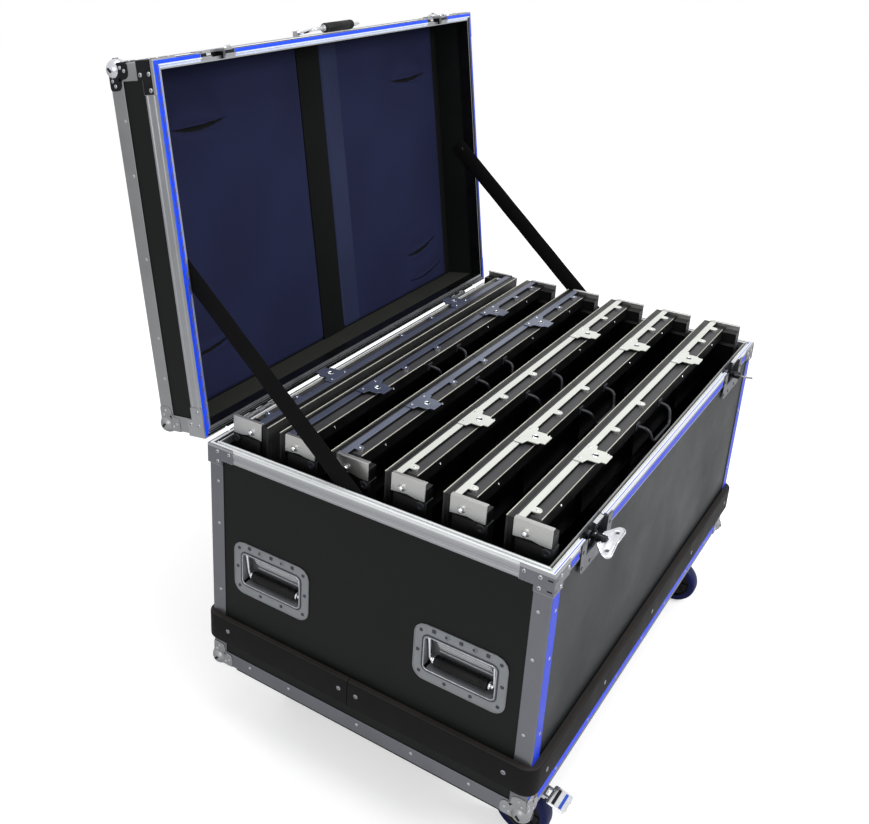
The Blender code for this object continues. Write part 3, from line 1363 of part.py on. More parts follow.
def lid_shell(lid):
    """The lid's top panel, its side walls as one ring, its edge angles with ball corners, and its rim."""
    top_low = LID_TOP - PANEL_INSET - PANEL
    outer_x, outer_y = HALF_X - PANEL_INSET, HALF_Y - PANEL_INSET
    top = block((-outer_x, outer_x), (-outer_y, outer_y), (top_low, LID_TOP - PANEL_INSET))
    add("lid_top_panel", top, "laminate", parent=lid)
    low, high = LID_Z + RIM_WEB + SEAT_GAP, top_low - SEAT_GAP
    profile = [(PANEL_INSET, low, 0), (PANEL_INSET, high, 0), (WALL_INSET, high, 0), (WALL_INSET, low, 0)]
    walls = ring(profile, HALF_X, HALF_Y)
    pocket_top = LID_Z + KEEPER_WINDOW_HEIGHT + LATCH_CUT_GAP
    for side in (-1, 1):
        x = side * LATCH_X
        half = KEEPER_WINDOW + LATCH_CUT_GAP
        pocket = block((x - half, x + half), (-HALF_Y, -INNER_Y + CUT_OVERRUN), (LID_Z, pocket_top))
        walls = carved(walls, pocket)
    add("lid_side_walls", walls, "laminate", parent=lid)
    profile = [(a, LID_TOP - b, 0) for a, b in angle_outline(ANGLE_WIDTH, ANGLE_WALL)]
    frame = ring(profile, HALF_X, HALF_Y)
    uprights = upright_angles(LID_Z + RIM_HEIGHT + SEAT_GAP, LID_TOP)
    frame = joined(frame, *uprights, *frame_corners(LID_TOP, -1))
    add("lid_edge_frame", frame, "aluminium", parent=lid, smooth=True)
    add("lid_rim", lid_rim(), "aluminium", parent=lid)


def lid_rim():
    """The lid's rim extrusion with its tongue, corner braces and the two keepers of the latches."""
    middle = GROOVE_INSET + GROOVE_WIDTH / 2
    tongue_low = LID_Z - TONGUE_HEIGHT
    profile = rim_outer_side(LID_Z, 1) + rim_inner_side(LID_Z, 1)
    profile += [
        (middle + TONGUE_WIDTH / 2, LID_Z, 0),
        (middle + TONGUE_WIDTH / 2, tongue_low, 0),
        (middle - TONGUE_WIDTH / 2, tongue_low, 0),
        (middle - TONGUE_WIDTH / 2, LID_Z, 0),
    ]
    mesh = joined(ring(profile, HALF_X, HALF_Y), *rim_braces(LID_Z, 1))
    inner = -HALF_Y + RIM_WIDTH - RIM_WALL
    outer = -HALF_Y - RIDGE - SEAT_GAP - KEEPER_PLATE
    for side in (-1, 1):
        x = side * LATCH_X
        half = KEEPER_WIDTH / 2
        plate_z = (LID_Z + KEEPER_LOW, LID_Z + KEEPER_HIGH)
        plate = block((x - half, x + half), (outer, -HALF_Y + FUSE_DEPTH), plate_z)
        window = block(
            (x - KEEPER_WINDOW, x + KEEPER_WINDOW),
            (outer - CUT_OVERRUN, inner),
            (tongue_low - CUT_OVERRUN, LID_Z + KEEPER_WINDOW_HEIGHT),
        )
        ledge = block(
            (x - KEEPER_WINDOW - FUSE_DEPTH, x + KEEPER_WINDOW + FUSE_DEPTH),
            (-HALF_Y + KEEPER_LEDGE_INSET, inner + FUSE_DEPTH),
            (LID_Z + KEEPER_LEDGE_LOW, LID_Z + KEEPER_LEDGE_HIGH),
        )
        mesh = joined(carved(joined(mesh, plate), window), ledge)
    return mesh


def pillow(low_outline, high_outline, low, high):
    """A pad between two outlines with the same number of points."""
    count = len(low_outline)
    verts = [(a, b, low) for a, b in low_outline] + [(a, b, high) for a, b in high_outline]
    faces = [tuple(range(count)), tuple(range(count, 2 * count))]
    for i in range(count):
        j = (i + 1) % count
        faces.append((i, j, count + j, count + i))
    return mesh_from(verts, faces)


def lid_lining(lid):
    """The lining under the lid's top: a thin board with two padded panels and a flat strip between them."""
    high = LID_TOP - PANEL_INSET - PANEL - SEAT_GAP
    low = high - LINING_BOARD
    half_x, half_y = INNER_X - LINING_GAP, INNER_Y - LINING_GAP
    mesh = block((-half_x, half_x), (-half_y, half_y), (low, high))
    for side in (-1, 1):
        near = LINING_STRIP_X + side * LINING_STRIP_WIDTH / 2
        far = side * (half_x - LINING_GAP)
        middle = ((near + far) / 2, 0)
        half_a, half_b = abs(far - near) / 2, half_y - LINING_GAP
        base = rounded_box(half_a, half_b, LINING_CORNER, middle)
        crown = rounded_box(half_a - LINING_EDGE, half_b - LINING_EDGE, LINING_CORNER - LINING_EDGE, middle)
        mesh = joined(mesh, pillow(base, crown, low + FUSE_DEPTH, low - LINING_PAD))
    add("lid_lining", mesh, "lining", parent=lid)


def lid_handle(lid):
    """The carrying handle on the front of the lid: a base with two ears, and a bail with a round grip."""
    z = LID_Z + LID_HANDLE_LEVEL
    face = -HALF_Y + PANEL_INSET - SEAT_GAP
    span = LID_HANDLE_SPAN / 2
    ear_near = span + LID_HANDLE_ROD + LID_HANDLE_EAR_GAP
    half = ear_near + LID_HANDLE_EAR + LID_HANDLE_MARGIN
    front = face - LID_HANDLE_PLATE
    mesh = block((-half, half), (face, front), (z - LID_HANDLE_WIDTH / 2, z + LID_HANDLE_WIDTH / 2))
    pivot = Vector((0, -HALF_Y - LID_HANDLE_PIVOT_OUT, z))
    ear_end = -HALF_Y - LID_HANDLE_EAR_OUT
    for side in (-1, 1):
        ends_x = (side * ear_near, side * (ear_near + LID_HANDLE_EAR))
        ear = block(ends_x, (front + FUSE_DEPTH, ear_end), (z - LID_HANDLE_EAR, z + LID_HANDLE_EAR))
        past = ear_near + LID_HANDLE_EAR + CUT_OVERRUN
        bore_ends = sorted((side * (ear_near - CUT_OVERRUN), side * past))
        ear = carved(ear, cylinder(LID_HANDLE_BORE, bore_ends, pivot, (1, 0, 0), 2 * CORNER_STEPS))
        mesh = joined(mesh, ear)
    add("lid_handle_base", mesh, "zinc", parent=lid)
    pin_end = ear_near + LID_HANDLE_EAR
    grip_y, grip_z = -HALF_Y - LID_HANDLE_GRIP_OUT, z - LID_HANDLE_DROP
    path = [
        (-pin_end, pivot.y, z),
        (-span, pivot.y, z),
        (-span, grip_y, grip_z),
        (span, grip_y, grip_z),
        (span, pivot.y, z),
        (pin_end, pivot.y, z),
    ]
    profile = grip_profile(LID_GRIP_RADIUS, LID_GRIP_LENGTH, COLLAR_RADIUS, GRIP_EDGE)
    grip = turned(profile, (0, grip_y, grip_z), (1, 0, 0), GRIP_STEPS)
    bail = joined(tube(path, LID_HANDLE_ROD, BAIL_SIDES), grip)
    add("lid_handle_grip", bail, "grip", pivot, lid, smooth=True)


# Stay straps


def opened(point):
    """Where a point of the closed lid stands once the lid is open."""
    turn = Matrix.Rotation(-LID_OPEN_ANGLE, 4, "X")
    place = Matrix.Translation(HINGE_AXIS) @ turn @ Matrix.Translation(-HINGE_AXIS)
    return place @ Vector(point)


def stay_straps():
    """A webbing strap at each end, taut from the base's wall to the open lid's, with a pad at both ends."""
    foot = Vector((0, STRAP_FOOT_Y, STRAP_FOOT_Z))
    head = opened((0, HALF_Y - STRAP_LID_REACH, LID_Z + STRAP_LID_LEVEL))
    along = (head - foot).normalized()
    across = Vector((0, -along.z, along.y))
    half = STRAP_PLATE / 2
    pad_wall = INNER_X - SEAT_GAP
    inner = INNER_X - RIM_WALL - SEAT_GAP - RUNNING_GAP - STRAP_THICKNESS
    for end, side in (("left", -1), ("right", 1)):
        wide = across * STRAP_WIDTH / 2
        tip = along * half
        outline = [foot - tip - wide, head + tip - wide, head + tip + wide, foot - tip + wide]
        ends = (side * inner, side * (inner + STRAP_THICKNESS))
        mesh = prism([(p.y, p.z) for p in outline], ends, "x")
        for centre in (foot, head):
            reach = half - FUSE_DEPTH
            ways = ((-1, -1), (1, -1), (1, 1), (-1, 1))
            corners = [centre + (along * a + across * b) * reach for a, b in ways]
            pad = prism([(p.y, p.z) for p in corners], (side * (inner + FUSE_DEPTH), side * pad_wall), "x")
            mesh = joined(mesh, pad)
        add(f"{end}_stay_strap", mesh, "webbing")


# Put everything in the scene


def main():
    for item in list(bpy.data.objects):
        bpy.data.objects.remove(item)
    base_panels()
    base_edge_frame()
    base_rim()
    bumper_strip()
    slot_racks()
    handles()
    latches()
    caster_boards()
    casters()
    cabinets()
    lid = bpy.data.objects.new("lid_pivot", None)
    bpy.context.scene.collection.objects.link(lid)
    lid.location = HINGE_AXIS
    lid.rotation_euler = (-LID_OPEN_ANGLE, 0, 0)
    lid_shell(lid)
    lid_lining(lid)
    lid_handle(lid)
    hinges(lid)
    stay_straps()


main()
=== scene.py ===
"""Looks for the flight case: detailed pieces, materials, light and camera, in the frame of the CAD model."""

import math
from functools import cached_property

import bmesh
import bpy
from mathutils import Matrix, Vector


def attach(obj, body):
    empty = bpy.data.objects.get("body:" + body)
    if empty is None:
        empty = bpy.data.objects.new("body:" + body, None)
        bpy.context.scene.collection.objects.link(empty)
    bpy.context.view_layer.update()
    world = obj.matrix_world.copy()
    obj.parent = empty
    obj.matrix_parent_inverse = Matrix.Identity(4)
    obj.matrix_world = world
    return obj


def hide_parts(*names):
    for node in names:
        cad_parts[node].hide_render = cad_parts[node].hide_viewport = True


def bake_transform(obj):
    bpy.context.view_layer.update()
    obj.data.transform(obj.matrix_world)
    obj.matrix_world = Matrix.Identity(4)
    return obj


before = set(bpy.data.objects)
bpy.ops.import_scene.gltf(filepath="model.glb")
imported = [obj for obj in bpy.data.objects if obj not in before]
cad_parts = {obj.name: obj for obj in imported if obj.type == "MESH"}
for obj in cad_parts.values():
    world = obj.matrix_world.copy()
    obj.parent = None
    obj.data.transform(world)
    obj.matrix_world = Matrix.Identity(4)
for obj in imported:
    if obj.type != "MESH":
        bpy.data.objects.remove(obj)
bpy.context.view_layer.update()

# Sizes of the case, in metres, as in the CAD model

HALF_X = 0.540
HALF_Y = 0.3275
BASE_Z = 0.1503
RIM_Z = 0.6283
LID_Z = 0.6291
LID_TOP = 0.7341
HINGE = Vector((0, 0.3341, 0.6287))
LID_ANGLE = math.radians(98.1)
PANEL_INSET = 0.0018
PANEL = 0.012
INNER_X = 0.5262
INNER_Y = 0.3137
RIM_HEIGHT = 0.027
RIDGE = 0.0012
ANGLE_WIDTH = 0.030
ANGLE_WALL = 0.0015
# Thickness of the thin sheets that carry painted reflections and highlights.
SHEET_THICKNESS = 0.00025

LID_TURN = Matrix.Rotation(-LID_ANGLE, 4, "X")
LID_PLACE = Matrix.Translation(HINGE) @ LID_TURN @ Matrix.Translation(-HINGE)
BOTH = (-1, 1)
ENDS = (("left", -1), ("right", 1))
WHICH = (("front", -1), ("back", 1))
SIDES = {"left": ("x", -1), "right": ("x", 1), "front": ("y", -1), "back": ("y", 1)}
ACROSS, BACK, UP = (1, 0, 0), (0, 1, 0), (0, 0, 1)


# Shapes


class Shape:
    """Points and faces gathered into one mesh, each face with the index of its material."""

    def __init__(self):
        self.verts = []
        self.faces = []
        self.slots = []

    def add(self, part, slot=0, place=None):
        verts, faces = part
        start = len(self.verts)
        for point in verts:
            self.verts.append(place @ Vector(point) if place else Vector(point))
        self.faces += [tuple(start + i for i in face) for face in faces]
        self.slots += [slot] * len(faces)

    def merge(self, other, place):
        start = len(self.verts)
        self.verts += [place @ point for point in other.verts]
        self.faces += [tuple(start + i for i in face) for face in other.faces]
        self.slots += other.slots

    def placed(self, place):
        made = Shape()
        made.merge(self, place)
        return made

    def mesh(self, name, materials, sharp=40):
        mesh = bpy.data.meshes.new(name)
        mesh.from_pydata([tuple(point) for point in self.verts], [], self.faces)
        for material in materials:
            mesh.materials.append(material)
        mesh.polygons.foreach_set("material_index", self.slots)
        bm = bmesh.new()
        bm.from_mesh(mesh)
        bmesh.ops.recalc_face_normals(bm, faces=bm.faces)
        bm.to_mesh(mesh)
        bm.free()
        mesh.shade_smooth()
        mesh.set_sharp_from_angle(angle=math.radians(sharp))
        return mesh

    def put(self, name, materials, body, slot, replaced=(), place=None, sharp=40):
        return put_mesh(name, self.mesh(name, materials, sharp), body, replaced, place)


def put_mesh(name, mesh, body, replaced=(), place=None):
    """Add a piece that rides on a body and stands for some nodes."""
    piece = bpy.data.objects.new(name, mesh)
    bpy.context.scene.collection.objects.link(piece)
    if place:
        piece.matrix_world = place
    bpy.context.view_layer.update()
    if body:
        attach(piece, body)
    if replaced:
        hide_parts(*replaced)
    return piece


def from_bmesh(bm):
    bm.verts.index_update()
    verts = [v.co.copy() for v in bm.verts]
    faces = [tuple(v.index for v in face.verts) for face in bm.faces]
    bm.free()
    return verts, faces


def block(ends_x, ends_y, ends_z, edge=0.0005, steps=1):
    """A box between three pairs of ends, its edges rounded."""
    low = Vector([min(pair) for pair in (ends_x, ends_y, ends_z)])
    high = Vector([max(pair) for pair in (ends_x, ends_y, ends_z)])
    bm = bmesh.new()
    bmesh.ops.create_cube(bm, size=1)
    for v in bm.verts:
        v.co = Vector([low[i] + (v.co[i] + 0.5) * (high[i] - low[i]) for i in range(3)])
    if edge:
        bmesh.ops.bevel(bm, geom=list(bm.edges), offset=edge, segments=steps, affect="EDGES", profile=0.5)
    return from_bmesh(bm)


def lathe(profile, steps=16, axis=UP, place=(0, 0, 0)):
    """A profile of (radius, along) turned about an axis through a place."""
    turn = Vector(UP).rotation_difference(Vector(axis)).to_matrix()
    verts, faces, rows = [], [], []
    for radius, along in profile:
        row = []
        for i in range(1 if radius == 0 else steps):
            angle = 2 * math.pi * i / steps
            point = Vector((radius * math.cos(angle), radius * math.sin(angle), along))
            row.append(len(verts))
            verts.append(turn @ point + Vector(place))
        rows.append(row)
    for low, high in zip(rows, rows[1:]):
        for i in range(steps):
            j = (i + 1) % steps
            corners = (low[i % len(low)], low[j % len(low)], high[j % len(high)], high[i % len(high)])
            face = tuple(dict.fromkeys(corners))
            if len(face) > 2:
                faces.append(face)
    return verts, faces


def skin(rows, closed=False):
    """Faces between rows of points, each row a loop, with flat ends unless the last row meets the first."""
    size = len(rows[0])
    verts = [point for row in rows for point in row]
    faces = []
    for i in range(len(rows) if closed else len(rows) - 1):
        low, high = i * size, (i + 1) % len(rows) * size
        for k in range(size):
            j = (k + 1) % size
            faces.append((low + k, low + j, high + j, high + k))
    if not closed:
        faces += [tuple(range(size)), tuple(range(len(verts) - size, len(verts)))]
    return verts, faces


def arc(centre, radius, start, end, steps):
    """Points on an arc, its angles in degrees."""
    points = []
    for i in range(steps + 1):
        angle = math.radians(start + (end - start) * i / steps)
        points.append((centre[0] + radius * math.cos(angle), centre[1] + radius * math.sin(angle)))
    return points


def bend(last, here, after, radius, steps, leg_share=None):
    """Points that round a corner, or the corner alone where the path hardly turns."""
    to_last, to_next = (last - here).normalized(), (after - here).normalized()
    half = to_last.angle(to_next) / 2
    if radius == 0 or half > math.radians(88):
        return [here]
    reach = radius / math.tan(half)
    if leg_share:
        reach = min(reach, (last - here).length * leg_share, (after - here).length * leg_share)
    start, end = here + to_last * reach, here + to_next * reach
    shares = [k / steps for k in range(steps + 1)]
    return [start * (1 - t) ** 2 + here * 2 * t * (1 - t) + end * t * t for t in shares]


def rounded(points, radius, steps=5):
    """A closed outline with each corner rounded, by one radius or one for each corner."""
    points = [Vector(point) for point in points]
    made = []
    for i, here in enumerate(points):
        size = radius[i] if isinstance(radius, (list, tuple)) else radius
        made += bend(points[i - 1], here, points[(i + 1) % len(points)], size, steps)
    return made


def fillet(points, radius, steps=5):
    """An open path with its inner corners rounded."""
    points = [Vector(point) for point in points]
    made = [points[0]]
    for last, here, after in zip(points, points[1:], points[2:]):
        made += bend(last, here, after, radius, steps, 0.49)
    return made + [points[-1]]


def rounded_box(half_a, half_b, radius, steps=6, middle=(0, 0)):
    """A rectangle with round corners, as points that turn anticlockwise."""
    a, b = half_a - radius, half_b - radius
    points = []
    for x, y, start in ((a, b, 0), (-a, b, 90), (-a, -b, 180), (a, -b, 270)):
        points += arc((middle[0] + x, middle[1] + y), radius, start, start + 90, steps)
    return points


def circle(radius, middle=(0, 0), steps=16):
    return arc(middle, radius, 0, 360 - 360 / steps, steps - 1)


def plate(outline, depth, holes=(), edge=0.0004, steps=1):
    """A flat plate in the local XY plane, centred on it, with holes and rounded edges."""
    curve = bpy.data.curves.new("plate", "CURVE")
    curve.dimensions = "2D"
    curve.fill_mode = "BOTH"
    curve.extrude = depth / 2 - edge
    curve.bevel_depth = edge
    curve.bevel_resolution = steps - 1
    curve.offset = -edge
    for points in (outline, *holes):
        spline = curve.splines.new("POLY")
        spline.points.add(len(points) - 1)
        for target, point in zip(spline.points, points):
            target.co = (point[0], point[1], 0, 1)
        spline.use_cyclic_u = True
    piece = bpy.data.objects.new("plate", curve)
    mesh = bpy.data.meshes.new_from_object(piece)
    bm = bmesh.new()
    bm.from_mesh(mesh)
    bmesh.ops.remove_doubles(bm, verts=bm.verts, dist=0.00001)
    bpy.data.objects.remove(piece)
    bpy.data.curves.remove(curve)
    bpy.data.meshes.remove(mesh)
    return from_bmesh(bm)


def axes(origin, x, y, z=None):
    """A placing that sends the local axes to the given ones."""
    x, y = Vector(x), Vector(y)
    z = Vector(z) if z else x.cross(y)
    place = Matrix((x, y, z)).transposed().to_4x4()
    place.translation = Vector(origin)
    return place


def rod(points, radius, steps=10, closed=False):
    """A round rod along a path, with flat ends."""
    points = [Vector(p) for p in points]
    count = len(points)
    rows = []
    side = None
    for i, point in enumerate(points):
        if closed:
            along = (points[(i + 1) % count] - points[i - 1]).normalized()
        else:
            along = (points[min(i + 1, count - 1)] - points[max(i - 1, 0)]).normalized()
        if side is None:
            side = along.orthogonal().normalized()
        side = (side - along * side.dot(along)).normalized()
        other = along.cross(side)
        angles = [2 * math.pi * k / steps for k in range(steps)]
        rows.append([point + side * radius * math.cos(a) + other * radius * math.sin(a) for a in angles])
    return skin(rows, closed)


def extruded(outline, ends, axis):
    """An outline run along an axis: (y, z) along x, (x, z) along y or (x, y) along z."""

    def at(end, a, b):
        return {"x": (end, a, b), "y": (a, end, b), "z": (a, b, end)}[axis]

    return skin([[at(end, a, b) for a, b in outline] for end in ends])


def rivet(radius=0.0038, height=0.0014):
    """A domed rivet with a dimple in its head."""
    shares = ((1.0, -0.3), (1.0, 0.15), (0.86, 0.62), (0.55, 0.93), (0.34, 1.0), (0.26, 0.72), (0, 0.62))
    return lathe([(radius * a, height * b) for a, b in shares], 14)


def screw(radius=0.0036, height=0.0012):
    """A countersunk screw with a round sunk recess in its head."""
    shares = ((1.0, -0.3), (1.0, 0.25), (0.85, 0.75), (0.42, 1.0), (0.30, 0.2), (0, 0.1))
    return lathe([(radius * a, height * b) for a, b in shares], 12)


def studded(shape, places, head, slot=0):
    """Put a head at each (point, normal)."""
    for point, normal in places:
        turn = Vector(UP).rotation_difference(Vector(normal)).to_matrix().to_4x4()
        shape.add(head, slot, Matrix.Translation(Vector(point)) @ turn)


def on_face(axis, side, along, z, out=0):
    """A point and its normal on an upright face of the case: an end (x), or the front or back (y)."""
    if axis == "x":
        return (side * (HALF_X + out), along, z), (side, 0, 0)
    return (along, side * (HALF_Y + out), z), (0, side, 0)


def face_block(axis, side, outs, along, levels, edge=0):
    """A block on an upright face of the case, between two distances outside that face."""
    if axis == "x":
        return block([side * (HALF_X + out) for out in outs], along, levels, edge)
    return block(along, [side * (HALF_Y + out) for out in outs], levels, edge)


# Materials


def rgb(red, green, blue):
    """A colour of the screen as linear light."""
    shares = [value / 255 for value in (red, green, blue)]
    return (*[share / 12.92 if share <= 0.04045 else ((share + 0.055) / 1.055) ** 2.4 for share in shares], 1)


class Nodes:
    """The nodes of a material or a world, with the few kinds that most surfaces here need."""

    def __init__(self, owner, shader="Principled BSDF"):
        owner.use_nodes = True
        self.owner = owner
        self.tree = owner.node_tree
        self.shader = self.tree.nodes[shader]

    @cached_property
    def coords(self):
        return self.tree.nodes.new("ShaderNodeTexCoord").outputs["Object"]

    def node(self, kind, inputs=(), **settings):
        made = self.tree.nodes.new(kind)
        for key, value in settings.items():
            setattr(made, key, value)
        for key, value in dict(inputs).items():
            if isinstance(value, bpy.types.NodeSocket):
                self.tree.links.new(value, made.inputs[key])
            else:
                made.inputs[key].default_value = value
        return made

    def stretched(self, scale):
        return self.node("ShaderNodeMapping", {"Vector": self.coords, "Scale": scale}).outputs[0]

    def noise(self, scale, detail=3, roughness=0.55, vector=None):
        inputs = {"Vector": vector or self.coords, "Scale": scale, "Detail": detail, "Roughness": roughness}
        return self.node("ShaderNodeTexNoise", inputs).outputs["Fac"]

    def math(self, operation, *values):
        return self.node("ShaderNodeMath", enumerate(values), operation=operation).outputs[0]

    def ramp(self, factor, stops):
        made = self.node("ShaderNodeValToRGB", {"Fac": factor})
        for element, (place, color) in zip(made.color_ramp.elements, stops):
            element.position = place
            element.color = color
        return made.outputs["Color"]

    def mix(self, factor, first, second, blend="MIX"):
        inputs = {0: factor, 6: first, 7: second}
        return self.node("ShaderNodeMix", inputs, data_type="RGBA", blend_type=blend).outputs[2]

    def span(self, value, low, high, start=0.3, end=0.7):
        inputs = {"Value": value, "From Min": start, "From Max": end, "To Min": low, "To Max": high}
        return self.node("ShaderNodeMapRange", inputs).outputs[0]

    def link(self, key, value):
        self.tree.links.new(value, self.shader.inputs[key])

    def settle(self, **values):
        """Give the shader plain values, its inputs named with low lines for spaces."""
        for key, value in values.items():
            self.shader.inputs[key.replace("_", " ")].default_value = value

    def bump(self, height, strength, distance=0.0005):
        inputs = {"Height": height, "Strength": strength, "Distance": distance}
        self.link("Normal", self.node("ShaderNodeBump", inputs).outputs[0])


def darker(color, share):
    return (color[0] * share, color[1] * share, color[2] * share, 1)


def grey(share):
    return (share, share, share, 1)


def surface(name, color, rough, metal=0.0, spread=0.25, scale=30, grain=600, bump=0.15,
            stretch=None, gloss=0.5, speck=0.10):
    """A finish with patches of tone, a fine grain and a changing gloss."""
    made = Nodes(bpy.data.materials.new(name))
    vector = made.stretched(stretch) if stretch else made.coords
    patches = made.noise(scale, 4, 0.6)
    fine = made.noise(grain, 2, 0.6, vector)
    tone = made.ramp(patches, [(0.3, darker(color, 1 - spread)), (0.7, darker(color, 1 + spread * 0.6))])
    specks = made.ramp(fine, [(0.35, grey(1 - speck)), (0.65, grey(1 + speck))])
    made.link("Base Color", made.mix(1.0, tone, specks, "MULTIPLY"))
    made.link("Roughness", made.span(patches, max(rough - 0.07, 0.03), min(rough + 0.08, 1)))
    made.settle(Metallic=metal, Specular_IOR_Level=gloss)
    made.bump(fine, bump)
    return made.owner


def woven(name, color, pitch, rough=0.85, spread=0.2, relief=0.5):
    """A cloth with crossing threads, tone that wanders and a soft sheen."""
    made = Nodes(bpy.data.materials.new(name))
    wave = {"Vector": made.coords, "Scale": 1 / pitch / 3.1, "Distortion": 0.4, "Detail": 1.0}
    ways = [made.node("ShaderNodeTexWave", wave, bands_direction=way).outputs["Fac"] for way in "ZXY"]
    threads = made.math("ADD", made.math("ADD", *ways[:2]), ways[2])
    patches = made.noise(9, 4, 0.6)
    tone = made.ramp(patches, [(0.3, darker(color, 1 - spread)), (0.7, darker(color, 1 + spread))])
    weave = made.ramp(made.span(threads, 0, 1, 0.6, 2.4), [(0.2, grey(0.82)), (0.8, grey(1.1))])
    made.link("Base Color", made.mix(1.0, tone, weave, "MULTIPLY"))
    made.link("Roughness", made.span(patches, rough - 0.05, rough + 0.05))
    made.settle(Specular_IOR_Level=0.08)
    made.bump(threads, relief, pitch * 0.3)
    return made.owner


def screen_face():
    """The face of a screen module: rows of small pixels on a dark ground."""
    made = Nodes(bpy.data.materials.new("screen_face"))
    pitch = 0.0039
    split = made.node("ShaderNodeSeparateXYZ", {"Vector": made.stretched((1 / pitch, 1 / pitch, 1 / pitch))})
    steps = []
    for axis in ("X", "Z"):
        part = made.math("FRACT", split.outputs[axis])
        steps.append(made.math("POWER", made.math("SUBTRACT", part, 0.5), 2.0))
    total = made.math("ADD", *steps)
    dot = made.ramp(total, [(0.04, rgb(118, 120, 116)), (0.075, rgb(16, 16, 17))])
    patches = made.noise(40)
    tone = made.ramp(patches, [(0.3, rgb(8, 8, 9)), (0.7, rgb(22, 22, 24))])
    made.link("Base Color", made.mix(0.35, dot, tone))
    made.link("Roughness", made.span(patches, 0.4, 0.6))
    made.bump(total, 0.5, 0.0004)
    return made.owner


LAMINATE = surface("laminate_black", rgb(18, 20, 19), 0.5, 0, 0.12, 6, 900, 0.3, gloss=0.14)
# The front panel's laminate is a lighter copy of the black one: painted light, the front lit more than the
# ends.
LAMINATE_FRONT_LIT = surface("laminate_front_painted_light", rgb(22, 26, 28), 0.45, 0, 0.10, 5, 900, 0.3, gloss=0.2, speck=0.05)
ALUMINIUM = surface("aluminium_satin", (0.17, 0.175, 0.195, 1), 0.36, 0.85, 0.08, 14, 500, 0.02, speck=0.02)
LID_ALUMINIUM = surface("aluminium_lid", (0.31, 0.32, 0.33, 1), 0.36, 0.85, 0.06, 14, 500, 0.02, speck=0.02)
RIM_METAL = surface("aluminium_rim", (0.36, 0.37, 0.39, 1), 0.34, 0.75, 0.04, 12, 400, 0.01, speck=0.015)
# A near-white copy of the rim aluminium: painted highlight on the rims' top bands and upward faces.
RIM_HIGHLIGHT = surface("rim_painted_highlight", rgb(228, 231, 232), 0.40, 0.1, 0.04, 12, 400, 0.02, speck=0.015)
EDGE_BRIGHT = surface("edge_bright", rgb(208, 210, 204), 0.38, 0.12, 0.06, 10, 300, 0.03, speck=0.02)
# Darker copies of the cabinets' bright edge: painted shade on cabinets 1 to 3.
EDGE_HALF_SHADE = surface("edge_painted_half_shade", rgb(112, 118, 136), 0.32, 0.3, 0.10, 10, 300, 0.03, speck=0.02)
EDGE_SHADE = surface("edge_painted_shade", rgb(80, 86, 106), 0.30, 0.3, 0.12, 10, 300, 0.03, speck=0.02)
# A pale colour for thin lines along edges: painted highlight.
EDGE_HIGHLIGHT = surface("edge_painted_highlight", rgb(196, 194, 182), 0.4, 0.1, 0.15, 9, 300, 0.03)
LIP_GREY = surface("rim_lip_grey", rgb(112, 110, 98), 0.45, 0.1, 0.1, 20, 400, 0.05)
STEEL = surface("end_plate_steel", (0.52, 0.52, 0.51, 1), 0.32, 0.85, 0.08, 10, 500, 0.03,
                (30, 1, 1), speck=0.03)
ZINC = surface("zinc_plate", (0.24, 0.25, 0.27, 1), 0.36, 0.85, 0.12, 45, 700, 0.04, speck=0.03)
LATCH_METAL = surface("latch_metal", (0.12, 0.125, 0.145, 1), 0.34, 0.85, 0.2, 60, 700, 0.04, speck=0.05)
DISH_METAL = surface("dish_metal", rgb(130, 133, 137), 0.38, 0.25, 0.08, 30, 700, 0.03, speck=0.03)
# A much lighter copy of the dish metal: painted light on the ribs deep in the recess.
DISH_LIT = surface("dish_ribs_painted_light", rgb(196, 198, 202), 0.45, 0, 0.04, 30, 700, 0.03, speck=0.03)
CHROME = surface("chrome", (0.72, 0.73, 0.76, 1), 0.12, 1.0, 0.08, 30, 500, 0.03)
# Bright metal: painted highlight on the lid's front ball corners and on the lit left latch wing.
LIT_METAL = surface("metal_painted_highlight", (0.62, 0.63, 0.67, 1), 0.24, 0.8, 0.06, 60, 500, 0.03, speck=0.02)
RIVET = surface("rivet_steel", (0.42, 0.43, 0.46, 1), 0.26, 0.95, 0.2, 90, 800, 0.05)
NUB_DARK = surface("nub_dark", rgb(58, 60, 72), 0.34, 0.4, 0.2, 90, 800, 0.05)
DARK_METAL = surface("dark_steel", rgb(26, 27, 31), 0.32, 0.5, 0.25, 60, 700, 0.10, gloss=0.3)
BUMPER = surface("bumper_rubber", rgb(16, 15, 16), 0.6, 0, 0.2, 12, 350, 0.3, gloss=0.12)
# A lighter copy of the bumper rubber for its top face: painted light from above.
BUMPER_TOP_LIT = surface("bumper_top_painted_light", rgb(46, 43, 41), 0.65, 0, 0.2, 12, 350, 0.3, gloss=0.12)
PLYWOOD = surface("painted_plywood", rgb(22, 21, 20), 0.66, 0, 0.25, 20, 260, 0.5, (1, 12, 12), gloss=0.15)
FOAM = surface("foam_black", rgb(9, 9, 10), 0.92, 0, 0.3, 60, 1400, 0.7, gloss=0.05)
FRAME_BLACK = surface("cabinet_frame", rgb(14, 14, 15), 0.36, 0, 0.25, 30, 1100, 0.15, gloss=0.28)
STRIP_GREY = surface("cabinet_strip", rgb(60, 60, 62), 0.42, 0.1, 0.15, 20, 500, 0.12, gloss=0.3)
CAVITY = surface("cabinet_back", rgb(7, 7, 8), 0.32, 0, 0.3, 25, 700, 0.2, gloss=0.25)
LOOP_BLACK = surface("loop_plastic", rgb(36, 37, 42), 0.34, 0, 0.15, 50, 700, 0.08, gloss=0.3)
GRIP = surface("grip_rubber", rgb(9, 9, 10), 0.50, 0, 0.25, 80, 900, 0.25, gloss=0.2)
